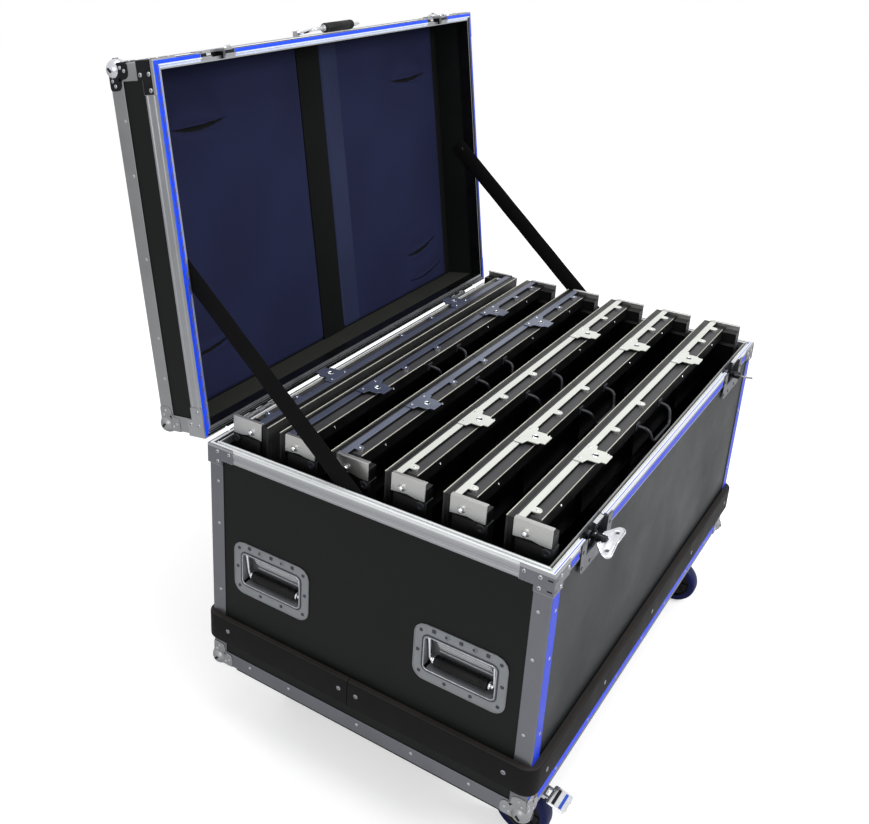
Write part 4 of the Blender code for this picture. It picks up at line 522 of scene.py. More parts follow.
TREAD = surface("wheel_tread", rgb(6, 18, 72), 0.45, 0, 0.2, 35, 700, 0.15, gloss=0.2)
WHEEL_CORE = surface("wheel_core", rgb(11, 11, 14), 0.42, 0, 0.25, 50, 700, 0.15, gloss=0.25)
CASTER_STEEL = surface("caster_zinc", (0.30, 0.315, 0.34, 1), 0.29, 0.9, 0.2, 60, 700, 0.06)
# Blue copies laid on the aluminium are painted reflection of blue light; the white one is painted highlight.
BLUE_REFLECTION = surface("blue_painted_reflection", rgb(18, 74, 246), 0.35, 0, 0.08, 14, 300, 0.06, gloss=0.3)
PALE_BLUE_REFLECTION = surface("pale_blue_painted_reflection", rgb(30, 62, 214), 0.34, 0, 0.12, 10, 300, 0.08, gloss=0.12)
DEEP_BLUE_REFLECTION = surface("deep_blue_painted_reflection", rgb(18, 66, 240), 0.35, 0, 0.15, 10, 300, 0.08, gloss=0.15)
WHITE_HIGHLIGHT = surface("white_painted_highlight", rgb(214, 224, 248), 0.35, 0, 0.05, 10, 300, 0.05, gloss=0.4)
PEDAL_BLUE = surface("pedal_blue", rgb(24, 82, 196), 0.35, 0, 0.1, 60, 600, 0.1)
NAVY = woven("lining_navy", rgb(29, 33, 60), 0.0011, 0.80, 0.06, 0.2)
NAVY_LIGHT = woven("lining_navy_light", rgb(39, 44, 70), 0.0011, 0.75, 0.06, 0.2)
LINING_BLACK = woven("lining_black", rgb(14, 15, 15), 0.0012, 0.85, 0.12, 0.25)
WALL_CLOTH = woven("lining_wall", rgb(39, 40, 36), 0.0012, 0.85, 0.10, 0.25)
WEBBING = woven("webbing_black", rgb(13, 13, 14), 0.0016, 0.80, 0.12, 0.6)
SCREEN = screen_face()


def finish(material, *patterns):
    """Give CAD nodes a material. A pattern with an end or a side in it stands for each of them."""
    names = {p.format(end=end, which=which) for p in patterns for end, _ in ENDS for which, _ in WHICH}
    for name in sorted(names):
        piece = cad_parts[name]
        piece = bpy.data.objects[piece] if isinstance(piece, str) else piece
        for slot in piece.material_slots:
            slot.material = material


finish(LAMINATE, "back_panel", "{end}_panel", "bottom_panel", "lid_top_panel", "lid_side_walls")
# The front panel takes the lighter laminate: painted light.
finish(LAMINATE_FRONT_LIT, "front_panel")
finish(RIM_METAL, "base_rim", "lid_rim")
finish(PLYWOOD, "{end}_caster_board")
finish(LATCH_METAL, "{end}_latch_plate")
finish(CHROME, "{end}_latch_hook", "lid_handle_base")
finish(ZINC, "{end}_hinge_base_leaf", "{end}_hinge_lid_leaf")
finish(DISH_METAL, "{end}_{which}_handle_dish")
finish(CASTER_STEEL, "{end}_{which}_caster_plate", "{end}_{which}_caster_fork")


# Edge angles and ball corners

CORNER_ARMS = [(0, 0), (0.045, 0), (0.045, 0.027), (0.027, 0.027), (0.027, 0.045), (0, 0.045)]
CORNER_PLATE = 0.0016
FRAME_SPOTS = (-0.42, -0.28, -0.14, 0, 0.14, 0.28, 0.42)
SMALL_RIVET = rivet(0.0032, 0.0011)


def angle_profile(width, wall, edge=0.0024):
    """The L of an edge angle, its outer corner at the origin, its outer edge and its two ends rounded."""
    lip = wall * 0.45
    points = [(width, wall - lip), (width, lip), (width - lip, 0)]
    points += arc((edge, edge), edge, 270, 180, 4)
    points += [(0, width - lip), (lip, width), (wall - lip, width), (wall, width - lip)]
    points += [(wall + 0.0002, wall + edge * 0.4), (wall + edge * 0.4, wall + 0.0002), (width - lip, wall)]
    return points


def edge_frame(level, upward, upright_end):
    """Angles round a horizontal frame at a level, with four uprights from it to a height."""
    made = Shape()
    profile = angle_profile(ANGLE_WIDTH, ANGLE_WALL)

    def angle(axis, corner, senses, ends):
        outline = [(corner[0] + senses[0] * a, corner[1] + senses[1] * b) for a, b in profile]
        made.add(extruded(outline, ends, axis))

    for side_y in BOTH:
        angle("x", (side_y * HALF_Y, level), (-side_y, upward), (-HALF_X + 0.002, HALF_X - 0.002))
    for side_x in BOTH:
        angle("y", (side_x * HALF_X, level), (-side_x, upward), (-HALF_Y + 0.002, HALF_Y - 0.002))
        for side_y in BOTH:
            ends = sorted((level + upward * 0.002, upright_end))
            angle("z", (side_x * HALF_X, side_y * HALF_Y), (-side_x, -side_y), ends)
    return made


def ball_corner():
    """A ball corner at the origin, arms along +X, +Y and +Z: rivets in slot 1, slots 2, ball 3, arms 4."""
    made = Shape()
    radius, steps = 0.018, 12
    turns = [math.pi * i / steps for i in range(steps + 1)]
    ball = [(radius * math.sin(a) if 0 < i < steps else 0, radius * math.cos(a)) for i, a in enumerate(turns)]
    verts, faces = lathe(ball, 24, (1, 1, 1), (0.010, 0.010, 0.010))
    outside = [face for face in faces if min(sum((verts[i] for i in face), Vector()) / len(face)) < 0.0015]
    made.add((verts, outside), 3)
    outline = rounded(CORNER_ARMS, [0, 0.006, 0.013, 0.006, 0.013, 0.006], 5)
    for first, second, normal in ((ACROSS, BACK, UP), (BACK, UP, ACROSS), (UP, ACROSS, BACK)):
        place = axes(Vector(normal) * (0.0002 - CORNER_PLATE / 2), first, second, normal)
        made.add(plate(outline, CORNER_PLATE, edge=0.0006), 4, place)
        for a, b in ((0.037, 0.013), (0.013, 0.037), (0.0285, 0.0075), (0.0075, 0.0285)):
            point = Vector(first) * a + Vector(second) * b - Vector(normal) * (CORNER_PLATE - 0.0004)
            studded(made, [(point, -Vector(normal))], rivet(0.0034, 0.0012), 1)
    for normal in (ACROSS, BACK, UP):
        others = [Vector(v) for v in (ACROSS, BACK, UP) if v != normal]
        centre = Vector((0.010, 0.010, 0.010)) - Vector(normal) * 0.0172
        lean = (others[0] + others[1]).normalized()
        place = axes(centre, lean, Vector(normal).cross(lean), -Vector(normal))
        made.add(plate(rounded_box(0.0052, 0.0022, 0.0021), 0.0024, edge=0.0003), 2, place)
    return made


CORNER = ball_corner()


def with_corners(made, level, upward, back_slots):
    """Add the four ball corners. The slots of those at the back are changed as the table says."""
    behind = CORNER.placed(Matrix.Identity(4))
    behind.slots = [back_slots.get(slot, slot) for slot in behind.slots]
    for side_x in BOTH:
        for side_y, corner in ((-1, CORNER), (1, behind)):
            place = Matrix.Translation((side_x * HALF_X, side_y * HALF_Y, level))
            made.merge(corner, place @ Matrix.Diagonal((-side_x, -side_y, upward, 1)))


base_edges = edge_frame(BASE_Z, 1, RIM_Z - RIM_HEIGHT)
with_corners(base_edges, BASE_Z, 1, {})
places = []
for side_x in BOTH:
    for side_y in BOTH:
        for level in (0.171, 0.317, 0.405):
            places.append(on_face("x", side_x, side_y * (HALF_Y - 0.019), BASE_Z + level))
            places.append(on_face("y", side_y, side_x * (HALF_X - 0.019), BASE_Z + level))
for side in BOTH:
    places += [on_face("x", side, y, BASE_Z + 0.019) for y in (-0.225, -0.114, -0.003, 0.148, 0.240)]
    places += [on_face("y", side, x, BASE_Z + 0.019) for x in FRAME_SPOTS]
studded(base_edges, places, SMALL_RIVET, 1)
base_materials = [ALUMINIUM, RIVET, DARK_METAL, LID_ALUMINIUM, LID_ALUMINIUM]
base_edges.put("base_edge_angles", base_materials, "case", "aluminium", ["base_edge_frame"])

lid_edges = edge_frame(LID_TOP, -1, LID_Z + RIM_HEIGHT)
# At the lid's front corners the balls take painted highlight and the arms dark steel as painted dark
# reflection; the back corners stay plain aluminium.
with_corners(lid_edges, LID_TOP, -1, {3: 0, 4: 0})
places = []
for side in BOTH:
    for along in (0.100, 0.177, 0.322, 0.468, 0.560):
        places.append(on_face("x", side, HALF_Y - along, LID_TOP - 0.022))
        places.append(((side * (HALF_X - 0.019), HALF_Y - along, LID_TOP), UP))
    for x in FRAME_SPOTS:
        places.append(on_face("y", side, x, LID_TOP - 0.022))
        places.append(((x, side * (HALF_Y - 0.019), LID_TOP), UP))
studded(lid_edges, places, SMALL_RIVET, 1)
lid_materials = [LID_ALUMINIUM, RIVET, DARK_METAL, LIT_METAL, DARK_METAL]
lid_edges.put("lid_edge_angles", lid_materials, "lid", "aluminium", ["lid_edge_frame"], LID_PLACE)


# Rivets on the rims' corner braces, painted highlights and dark lines on the rims, and painted blue
# reflections on the extrusions

LATCH_X = 0.381
LATCH_CUT = (-0.4265, -0.3355, 0.3355, 0.4265)
CLEAR_X = HALF_X - 0.060
ALL_ROUND = "left right front back"


def ring(made, outs, levels, slot, names, cut=True):
    """Flat strips round the case, between two distances outside it; the front one spares the latches."""
    for name, (axis, side) in SIDES.items():
        if name not in names:
            continue
        end = HALF_Y + outs[0] if axis == "x" else HALF_X + outs[1]
        spans = [(-end, end)]
        if cut and name == "front":
            spans = [(-end, LATCH_CUT[0]), LATCH_CUT[1:3], (LATCH_CUT[3], end)]
        for along in spans:
            made.add(face_block(axis, side, outs, along, levels), slot)


def braces(made, level, upward, slot, dark, sides_y):
    """Rivets on the braces, thin plates over them, and at the front two dark slots on each leg."""
    places = []
    for side_x in BOTH:
        for side_y in BOTH:
            for along, drop in ((0.0465, 0.0105), (0.0205, 0.0107), (0.0210, 0.0300)):
                z = level + upward * drop
                places.append(on_face("x", side_x, side_y * (HALF_Y - along), z, 0.0014 + RIDGE))
                places.append(on_face("y", side_y, side_x * (HALF_X - along), z, 0.0014 + RIDGE))
    studded(made, places, rivet(0.0040, 0.0016))
    studded(made, places, lathe([(0.0015, 0.0005), (0.0015, 0.00135), (0, 0.00135)], 10), dark)
    strips = [(-0.002, 0.030, 0.0052, 0.0372, 0.0002, 0, slot)]
    strips += [(0.030, 0.0532, 0.0052, RIM_HEIGHT - 0.0006, 0.0002, 0, slot)]
    for deep in (0.0110, 0.0300):
        strips.append((0.0005, 0.0085, deep - 0.0013, deep + 0.0013, 0.0004, 0.0001, dark))
    for side_x in BOTH:
        for side_y in sides_y:
            for near, far, start, drop, thick, edge, index in strips if side_y < 0 else strips[:2]:
                outs, levels = (0.0025, 0.0025 + thick), (level + upward * start, level + upward * drop)
                along = (side_y * (HALF_Y - near), side_y * (HALF_Y - far))
                made.add(face_block("x", side_x, outs, along, levels, edge), index)
                along = (side_x * (HALF_X - near), side_x * (HALF_X - far))
                made.add(face_block("y", side_y, outs, along, levels, edge), index)


def hinge_bead(made, low, high, slot):
    """A dark bead along the outside of a rim's back, with gaps for the two hinges."""
    for ends_x in ((-CLEAR_X, -0.433), (-0.337, 0.337), (0.433, CLEAR_X)):
        made.add(block(ends_x, (HALF_Y - 0.0004, HALF_Y + 0.0034), (low, high), 0.0006, 2), slot)


base_rim = Shape()
braces(base_rim, RIM_Z, -1, 3, 4, BOTH)
cap = (RIM_Z - 0.0001, RIM_Z + 0.00015)
groove = (RIM_Z - 0.0032, RIM_Z - 0.0030)
# Slot 1, on the rim's top band, cap and groove walls, is painted highlight, the top lighter than the sides;
# slot 2 is painted blue reflection.
for out, depth, levels, slot, names in (
    (0.0002, -0.0004, (RIM_Z - 0.0052, RIM_Z - 0.0002), 1, ALL_ROUND),
    (-0.0004, -0.0054, cap, 1, ALL_ROUND),
    (-0.0057, -0.0098, groove, 1, "left right front"),
    (-0.0057, -0.0098, groove, 4, "back"),
    (-0.0098, -0.0100, (RIM_Z - 0.0029, RIM_Z), 1, "left front"),
    (-0.0102, -0.0138, cap, 1, "left right"),
    (-0.0102, -0.0122, cap, 4, "front"),
    (-0.0124, -0.0138, cap, 5, "front"),
    (-0.0102, -0.0124, cap, 4, "back"),
    (-0.0126, -0.0138, cap, 1, "back"),
    (-0.0022, -0.0033, (RIM_Z + 0.00015, RIM_Z + 0.0003), 2, "front"),
):
    ring(base_rim, (out, depth), levels, slot, names)
# Painted blue reflection on the base rim's front face, spared at the latches.
for ends_x in ((-CLEAR_X, -0.450), (-0.312, 0.312), (0.450, CLEAR_X)):
    base_rim.add(face_block("y", -1, (RIDGE, RIDGE + SHEET_THICKNESS), ends_x, (RIM_Z - 0.0215, RIM_Z - 0.0080)), 2)
hinge_bead(base_rim, RIM_Z - 0.0002, RIM_Z - 0.0058, 4)
rim_materials = [RIVET, RIM_HIGHLIGHT, PALE_BLUE_REFLECTION, ALUMINIUM, DARK_METAL, LIP_GREY]
base_rim.put("base_rim_rivets", rim_materials, "case", "zinc")

lid_rim = Shape()
# On the lid the plates over the front braces are dark steel: painted dark reflection.
braces(lid_rim, LID_Z, 1, 1, 1, (-1,))
lid_rim.put("lid_rim_rivets", [RIVET, DARK_METAL], "lid", "zinc", place=LID_PLACE)

rim_trim = Shape()
flat = (LID_Z - SHEET_THICKNESS, LID_Z)
tongue = (LID_Z - 0.0025 - SHEET_THICKNESS, LID_Z - 0.0025)
# Painted blue reflection in slot 0 and painted white highlight in slot 1 on the lid rim's mating face.
for out, depth, levels, slot, names in (
    (-0.0004, -0.0064, flat, 0, "left right front"),
    (-0.0066, -0.0089, tongue, 0, "left right"),
    (-0.0066, -0.0089, tongue, 1, "front"),
    (-0.0092, -0.0138, flat, 4, "right"),
    (-0.0092, -0.0116, flat, 1, "left"),
    (-0.0092, -0.0132, flat, 1, "front"),
    (-0.0002, -0.0034, flat, 4, "back"),
    (-0.0052, -0.0064, flat, 4, "back"),
    (-0.0066, -0.0089, tongue, 4, "back"),
    (-0.0092, -0.0104, flat, 4, "back"),
):
    ring(rim_trim, (out, depth), levels, slot, names)
ring(rim_trim, (-0.0156, -0.0158), (LID_Z + 0.0003, LID_Z + RIM_HEIGHT - 0.0003), 4, ALL_ROUND, cut=False)
# The lid rim's front face, which faces up with the lid open, takes the painted highlight too.
ring(rim_trim, (RIDGE + 0.0001, RIDGE + 0.0003), (LID_Z + 0.0004, LID_Z + RIM_HEIGHT - 0.0010), 5, "front")
hinge_bead(rim_trim, LID_Z + 0.0002, LID_Z + 0.0058, 4)
for side in BOTH:
    x, face = side * LATCH_X, -HALF_Y
    for ends_x in ((x - 0.0440, x - 0.0190), (x + 0.0190, x + 0.0440)):
        rim_trim.add(face_block("y", -1, (-0.0006, -0.0062), ends_x, (LID_Z - 0.0003, LID_Z)), 2)
    ends_x, levels = (x - 0.0300, x - 0.0190), (LID_Z - 0.0005, LID_Z)
    rim_trim.add(face_block("y", -1, (-0.0010, -0.0052), ends_x, levels, 0.0001), 3)
    loop = [(x + 0.0240, face + 0.003, LID_Z + 0.003), (x + 0.0240, face - 0.0062, LID_Z + 0.004)]
    loop += [(x + 0.0400, face - 0.0062, LID_Z + 0.004), (x + 0.0400, face + 0.003, LID_Z + 0.003)]
    rim_trim.add(rod(fillet(loop, 0.005, 4), 0.0016, 8), 3)
rim_materials = [BLUE_REFLECTION, WHITE_HIGHLIGHT, DARK_METAL, CHROME, CAVITY, RIM_HIGHLIGHT]
rim_trim.put("lid_rim_film", rim_materials, "lid", "aluminium", place=LID_PLACE)

# Painted blue reflection on the front's two upright angles and along its foot.
front_reflection = Shape()
for side in BOTH:
    ends_x = (side * (HALF_X - 0.003), side * (HALF_X - ANGLE_WIDTH + 0.001))
    front_reflection.add(face_block("y", -1, (0, SHEET_THICKNESS), ends_x, (BASE_Z + 0.046, RIM_Z - 0.040)))
ends_x = (-HALF_X + 0.046, HALF_X - 0.046)
front_reflection.add(face_block("y", -1, (0, SHEET_THICKNESS), ends_x, (BASE_Z + 0.0120, BASE_Z + 0.0290)), 1)
front_reflection.put("front_angle_film", [PALE_BLUE_REFLECTION, DEEP_BLUE_REFLECTION], "case", "aluminium")


# The bumper round the base


def bumper():
    """A rubber strip bent round the base, its two ends meeting on the left side."""
    low, high, thick, edge = BASE_Z + 0.061, BASE_Z + 0.116, 0.012, 0.0030
    joint_y, half_gap = 0.012, 0.0006
    path = [Vector((a, b, 0)) for a, b in rounded_box(HALF_X, HALF_Y, 0.0145, 7)]
    pairs = enumerate(zip(path, path[1:] + path[:1]))
    start = next(i for i, (one, two) in pairs if one.x < -HALF_X + 0.001 and one.y > joint_y > two.y)
    path = [Vector((-HALF_X, joint_y - half_gap, 0))] + path[start + 1:] + path[:start + 1]
    path += [Vector((-HALF_X, joint_y + half_gap, 0))]
    inner, angles = thick - edge, (0, 0.4, 0.8, 1.2, 1.57)
    section = [(0.0004, low), (inner, low)]
    section += [(inner + edge * math.sin(a), low + edge - edge * math.cos(a)) for a in angles[1:]]
    section += [(inner + edge * math.cos(a), high - edge + edge * math.sin(a)) for a in angles]
    section += [(0.0004, high)]
    rows = []
    for i, point in enumerate(path):
        along = (path[min(i + 1, len(path) - 1)] - path[max(i - 1, 0)]).normalized()
        normal = Vector((along.y, -along.x, 0))
        rows.append([point + normal * out + Vector((0, 0, z)) for out, z in section])
    return skin(rows)


SECTION_SIZE = 12
TOP_SPANS = (8, 9, 10)
strip = Shape()
strip.add(bumper())
# The bumper's top face takes the lighter rubber: painted light.
strip.slots = [1 if i % SECTION_SIZE in TOP_SPANS else 0 for i in range(len(strip.faces) - 2)] + [0, 0]
screws_y, screws_x = (0.283, 0.030, -0.006, -0.287), (-0.50, -0.25, 0, 0.25, 0.50)
places = [on_face("x", side, y, BASE_Z + 0.092, 0.0118) for y in screws_y for side in BOTH]
places += [on_face("y", side, x, BASE_Z + 0.089, 0.0118) for x in screws_x for side in BOTH]
studded(strip, places, screw(0.0045, 0.0013), 2)
strip.put("bumper_band", [BUMPER, BUMPER_TOP_LIT, ZINC], "case", "rubber", ["bumper_strip"])


# Slotted foam racks and the pad on the floor

CABINET_Z = 0.1727
CABINET_FACES = [(0.2265, -1)] + [(0.308 - 0.107 * i, 1) for i in range(1, 6)]
CABINET_DEPTH = 0.079
DISH_Y = 0.190
DISH_Z = BASE_Z + 0.2415
DISH_HALF_Z = 0.0345


def rib_middle(index):
    face, sense = CABINET_FACES[index]
    near = face if sense < 0 else face - CABINET_DEPTH
    return (near + CABINET_FACES[index + 1][0]) / 2


for end, side in ENDS:
    rack = Shape()
    wall, front = side * (INNER_X - 0.0003), side * (INNER_X - 0.0063)
    low, high = CABINET_Z, RIM_Z - 0.052
    half_y = INNER_Y - 0.004
    mid_low, mid_high = DISH_Z - DISH_HALF_Z, DISH_Z + DISH_HALF_Z
    rack.add(block((wall, front), (-half_y, half_y), (low, mid_low), 0.0008))
    rack.add(block((wall, front), (-half_y, half_y), (mid_high, high), 0.0012))
    for ends_y in ((-half_y, -0.2553), (-0.1247, 0.1247), (0.2553, half_y)):
        rack.add(block((wall, front), ends_y, (mid_low - 0.001, mid_high + 0.001), 0.0006))
    for index in range(5):
        middle = rib_middle(index)
        tip = front - side * 0.080
        outline = [(front, low), (tip, low), (tip, high - 0.020), (tip + side * 0.020, high), (front, high)]
        outline = rounded(outline, [0, 0.002, 0.010, 0.010, 0], 5)
        if 0.1135 < abs(middle) < 0.2665:
            clear = front - side * 0.0120
            outline += [(front, mid_high), (clear, mid_high), (clear, mid_low), (front, mid_low)]
        rack.add(plate(outline, 0.022, edge=0.004, steps=3), 0, axes((0, middle, 0), ACROSS, UP, BACK))
    rack.put(f"{end}_foam_rack", [FOAM], "case", "foam", [f"{end}_slot_rack"], sharp=50)

# Pale strips on the tops of the foam ribs: painted highlight.
rib_top_highlights = Shape()
for index in (2, 3, 4):
    y = rib_middle(index)
    ends_y, levels = (y - 0.0025, y + 0.0025), (RIM_Z - 0.0522, RIM_Z - 0.0514)
    rib_top_highlights.add(block((-0.5175, -0.4990), ends_y, levels, 0.0002))
rib_top_highlights.put("rib_top_strips", [EDGE_HIGHLIGHT], "case", "foam")

floor = Shape()
ends_x, ends_y = [(-half + 0.0003, half - 0.0003) for half in (INNER_X, INNER_Y)]
floor.add(block(ends_x, ends_y, (0.1644, 0.1724), 0.003, 3))
floor.put("floor_foam", [FOAM], "case", "foam", ["floor_pad"])


# The screen cabinets, drawn at the origin: x along, y back from the face as a negative length, z up

BLACK, BRIGHT, GREY, FACE, PLATE, SHINE, HOLLOW, GLINT, LOOP = range(9)
CABINET_MATERIALS = [FRAME_BLACK, EDGE_BRIGHT, STRIP_GREY, SCREEN, STEEL, CHROME, CAVITY]
CABINET_MATERIALS += [EDGE_HIGHLIGHT, LOOP_BLACK]


def lock_outline():
    """A lock plate as (x, y): a bar along the bright edge and a tongue that reaches back."""
    points = [(0.015, -0.065), (0.015, -0.056), (0.021, -0.054), (0.021, -0.035)]
    points += [(0.034, -0.032), (0.034, -0.016)]
    sizes = [0.002, 0.002, 0.003, 0.002, 0.002, 0.001]
    return rounded([(-x, y) for x, y in reversed(points)] + points, sizes[::-1] + sizes, 3)


def cabinet():
    made = Shape()
    half, high = 0.5, 0.5
    step = high - 0.006
    for column in range(4):
        for row in range(2):
            ends_x = (-half + 0.25 * column + 0.0003, -half + 0.25 * (column + 1) - 0.0003)
            ends_z = (0.0015 + 0.2485 * row + 0.0003, 0.0015 + 0.2485 * (row + 1) - 0.0003)
            made.add(block(ends_x, (0, -0.0042), ends_z, 0.0004), FACE)
            made.add(block(ends_x, (-0.0042, -0.012), ends_z, 0.0005), BLACK)
    whole, short, inner = [(-half + cut, half - cut) for cut in (0, 0.0002, 0.025)]
    # Thin pale lines along the face's top edge and along the step's back edge are painted highlight.
    for ends_x, ends_y, ends_z, edge, slot in (
        (whole, (-0.0002, -0.0016), (high - 0.0021, high - 0.0008), 0.0003, GLINT),
        (whole, (-0.012, -0.018), (0.0005, high - 0.0035), 0.0005, HOLLOW),
        (whole, (-0.0125, -0.0270), (high - 0.030, high - 0.0009), 0.0008, BLACK),
        (short, (-0.0150, -0.0268), (high - 0.0018, high - 0.0002), 0.0004, BRIGHT),
        (whole, (-0.0122, -0.0146), (high - 0.0022, high - 0.0006), 0.0004, GREY),
        (whole, (-0.0265, -0.0470), (step - 0.024, step - 0.0006), 0.0008, BLACK),
        (inner, (-0.0274, -0.0452), (step - 0.0016, step - 0.0001), 0.0004, GREY),
        (inner, (-0.0458, -0.0470), (step - 0.0012, step + 0.0004), 0.0003, GLINT),
        (whole, (-0.012, -0.0470), (0.0003, 0.024), 0.0008, BLACK),
    ):
        made.add(block(ends_x, ends_y, ends_z, edge), slot)
    for x in (-0.475, -0.25, 0, 0.25, 0.475):
        made.add(block((x - 0.004, x + 0.004), (-0.017, -0.028), (0.024, step - 0.024), 0.0008), HOLLOW)
    for z in (0.125, 0.2505, 0.375):
        made.add(block(inner, (-0.017, -0.0255), (z - 0.0035, z + 0.0035), 0.0008), HOLLOW)
    points = [(-0.0135, 0.0004), (-0.0765, 0.0004), (-0.0765, -0.032), (-0.058, -0.0315)]
    points += [(-0.044, -0.0285), (-0.026, -0.0300), (-0.0135, -0.0315)]
    sizes = [0.001, 0.001, 0.002, 0.006, 0.010, 0.006, 0.001]
    end_plate = rounded([(y, high + z) for y, z in points], sizes, 4)
    stud = [(0.0045, -0.001), (0.0045, 0.0072), (0.0038, 0.0088), (0.0022, 0.0097), (0, 0.0100)]
    collar = [(0.0070, 0.0), (0.0070, 0.0018), (0.0056, 0.0026), (0, 0.0026)]
    knob = [(0.0078, -0.004), (0.0078, 0.0035), (0.0066, 0.0048), (0.0030, 0.0050)]
    knob += [(0.0022, 0.0040), (0, 0.0038)]
    eye = [(0.0062, -0.001), (0.0062, 0.0007), (0.0054, 0.0011), (0.0047, 0.0006), (0.0047, -0.001)]
    lock_y = -0.041
    lock = plate(lock_outline(), 0.0022, [circle(0.0050, (0, lock_y), 14)], 0.0005)
    underlay = plate(lock_outline(), 0.0008, edge=0.0002)
    keyway = plate(rounded_box(0.0016, 0.0052, 0.0012, 3, (0, lock_y)), 0.0010, edge=0.0002)
    for side in BOTH:
        ends_x = (side * (half - 0.0005), side * (half - 0.0235))
        made.add(block(ends_x, (-0.0135, -CABINET_DEPTH), (0.0005, high - 0.034), 0.0015, 2), BLACK)
        made.add(block(ends_x, (-0.0135, -0.0765), (high - 0.036, high - 0.0105), 0.001), BLACK)
        slim = (side * (half - 0.0245), side * (half - 0.0235))
        made.add(block(slim, (-0.020, -0.0765), (0.030, high - 0.040), 0.0003), HOLLOW)
        outline = end_plate[::-1] if side > 0 else end_plate
        place = axes((side * (half + 0.0010), 0, 0), BACK, UP, ACROSS)
        made.add(plate(outline, 0.0018, edge=0.0005), PLATE, place)
        lip_x = (side * (half + 0.0016), side * (half - 0.0062))
        made.add(block(lip_x, (-0.0140, -0.0765), (high + 0.0001, high + 0.0017), 0.0004), PLATE)
        place = (side * (half + 0.0002), -0.0345, high - 0.019)
        made.add(lathe(stud, 16, (side, 0, 0), place), SHINE)
        made.add(lathe(collar, 16, (side, 0, 0), place), PLATE)
        made.add(lathe(knob, 16, (side, 0, 0), (side * (half - 0.0008), -0.0690, high - 0.0410)), LOOP)
        lock_x = side * 0.25
        made.add(lock, BRIGHT, Matrix.Translation((lock_x, 0, high + 0.0013)))
        made.add(underlay, HOLLOW, axes((lock_x, 0, high - 0.0002), (0.98, 0, 0), (0, 0.99, 0), UP))
        made.add(lathe(eye, 18, UP, (lock_x, lock_y, high + 0.0018)), SHINE)
        made.add(keyway, SHINE, Matrix.Translation((lock_x, 0, high + 0.0001)))
        places = [((lock_x + way * 0.0215, -0.0225, high + 0.0022), UP) for way in BOTH]
        studded(made, places, screw(0.0026, 0.0008), SHINE)
    for share in (-0.922, -0.266, -0.010, 0.740, 0.910):
        x = share * half
        tab = [(x - 0.0075, -0.0262)] + arc((x, -0.0330), 0.0075, 180, 360, 10) + [(x + 0.0075, -0.0262)]
        made.add(plate(tab, 0.0020, edge=0.0004), BRIGHT, Matrix.Translation((0, 0, high - 0.0014)))
        made.add(lathe([(0.0066, -0.004), (0.0066, 0)], 12, UP, (x, -0.0330, high - 0.0025)), PLATE)
        studded(made, [((x, -0.0335, high - 0.0005), UP)], rivet(0.0024, 0.0009), SHINE)
    path = [(-0.060, -0.0465, high - 0.020), (-0.058, -0.068, high - 0.022), (-0.046, -0.0755, high - 0.050)]
    path += [(-x, y, z) for x, y, z in reversed(path)]
    made.add(rod(fillet(path, 0.016, 6), 0.0030, 12), LOOP)
    for side in BOTH:
        ends_x, ends_z = (side * 0.052, side * 0.070), (high - 0.027, high - 0.013)
        made.add(block(ends_x, (-0.0465, -0.0495), ends_z, 0.001), LOOP)
    hub_x, hub_z = 0.150, (0.160, 0.340)
    made.add(block((-hub_x, hub_x), (-0.0175, -0.044), hub_z, 0.003, 2), HOLLOW)
    for k in range(12):
        x = -0.110 + 0.020 * k
        made.add(block((x - 0.004, x + 0.004), (-0.0435, -0.0448), (0.190, 0.250), 0.0005), BLACK)
    socket = [(0.0125, -0.002), (0.0125, 0.006), (0.0105, 0.008), (0.0085, 0.008)]
    socket += [(0.0080, 0.003), (0, 0.003)]
    for x in (-0.120, -0.070, 0.070, 0.120):
        made.add(lathe(socket, 18, (0, -1, 0), (x, -0.044, 0.300)), BLACK)
    heads = []
    for x in (-0.465, -0.375, -0.285, -0.215, -0.125, 0.125, 0.215, 0.285, 0.375, 0.465):
        for z in (0.040, 0.115, 0.262, 0.365, 0.455):
            if abs(x) > hub_x or not hub_z[0] < z < hub_z[1]:
                heads.append(((x, -0.0179, z), (0, -1, 0)))
    heads += [((x, -0.0469, step - 0.012), (0, -1, 0)) for x in (-0.40, -0.20, 0.20, 0.40)]
    studded(made, heads, screw(0.0027, 0.0011), SHINE)
    return made


cabinet_mesh = cabinet().mesh("screen_cabinet", CABINET_MATERIALS, 35)
# Cabinets 1 to 3 take darker copies of the bright edge: painted shade.
SHADED_EDGES = {0: EDGE_SHADE, 1: EDGE_SHADE, 2: EDGE_HALF_SHADE}
for index, (face, sense) in enumerate(CABINET_FACES):
    number = index + 1
    place = Matrix.Translation((0, face, CABINET_Z)) @ Matrix.Rotation(0 if sense > 0 else math.pi, 4, "Z")
    mesh = cabinet_mesh.copy()
    mesh.materials[BRIGHT] = SHADED_EDGES.get(index, EDGE_BRIGHT)
    replaced = [f"led_cabinet_{number}"]
    put_mesh(f"screen_cabinet_{number}", mesh, f"cabinet_{number}", replaced, place)


# Recessed handles

DISH_FACE = HALF_X - PANEL_INSET + 0.0003 + 0.0012
DISH_MATERIALS = [DISH_METAL, RIVET, NUB_DARK, DISH_LIT]


def grip_profile(radius, length, edge):
    """A grip with round shoulders and shallow rings near its ends."""
    half = length / 2
    side = [(0, -half), (radius - edge, -half)]
    for a in (0.5, 1.0, 1.57):
        side.append((radius - edge + edge * math.sin(a), -half + edge - edge * math.cos(a)))
    for place in (-half + 0.010, -half + 0.014):
        side += [(radius, place - 0.0012), (radius - 0.0007, place), (radius, place + 0.0012)]
    return side + [(r, -a) for r, a in reversed(side)]


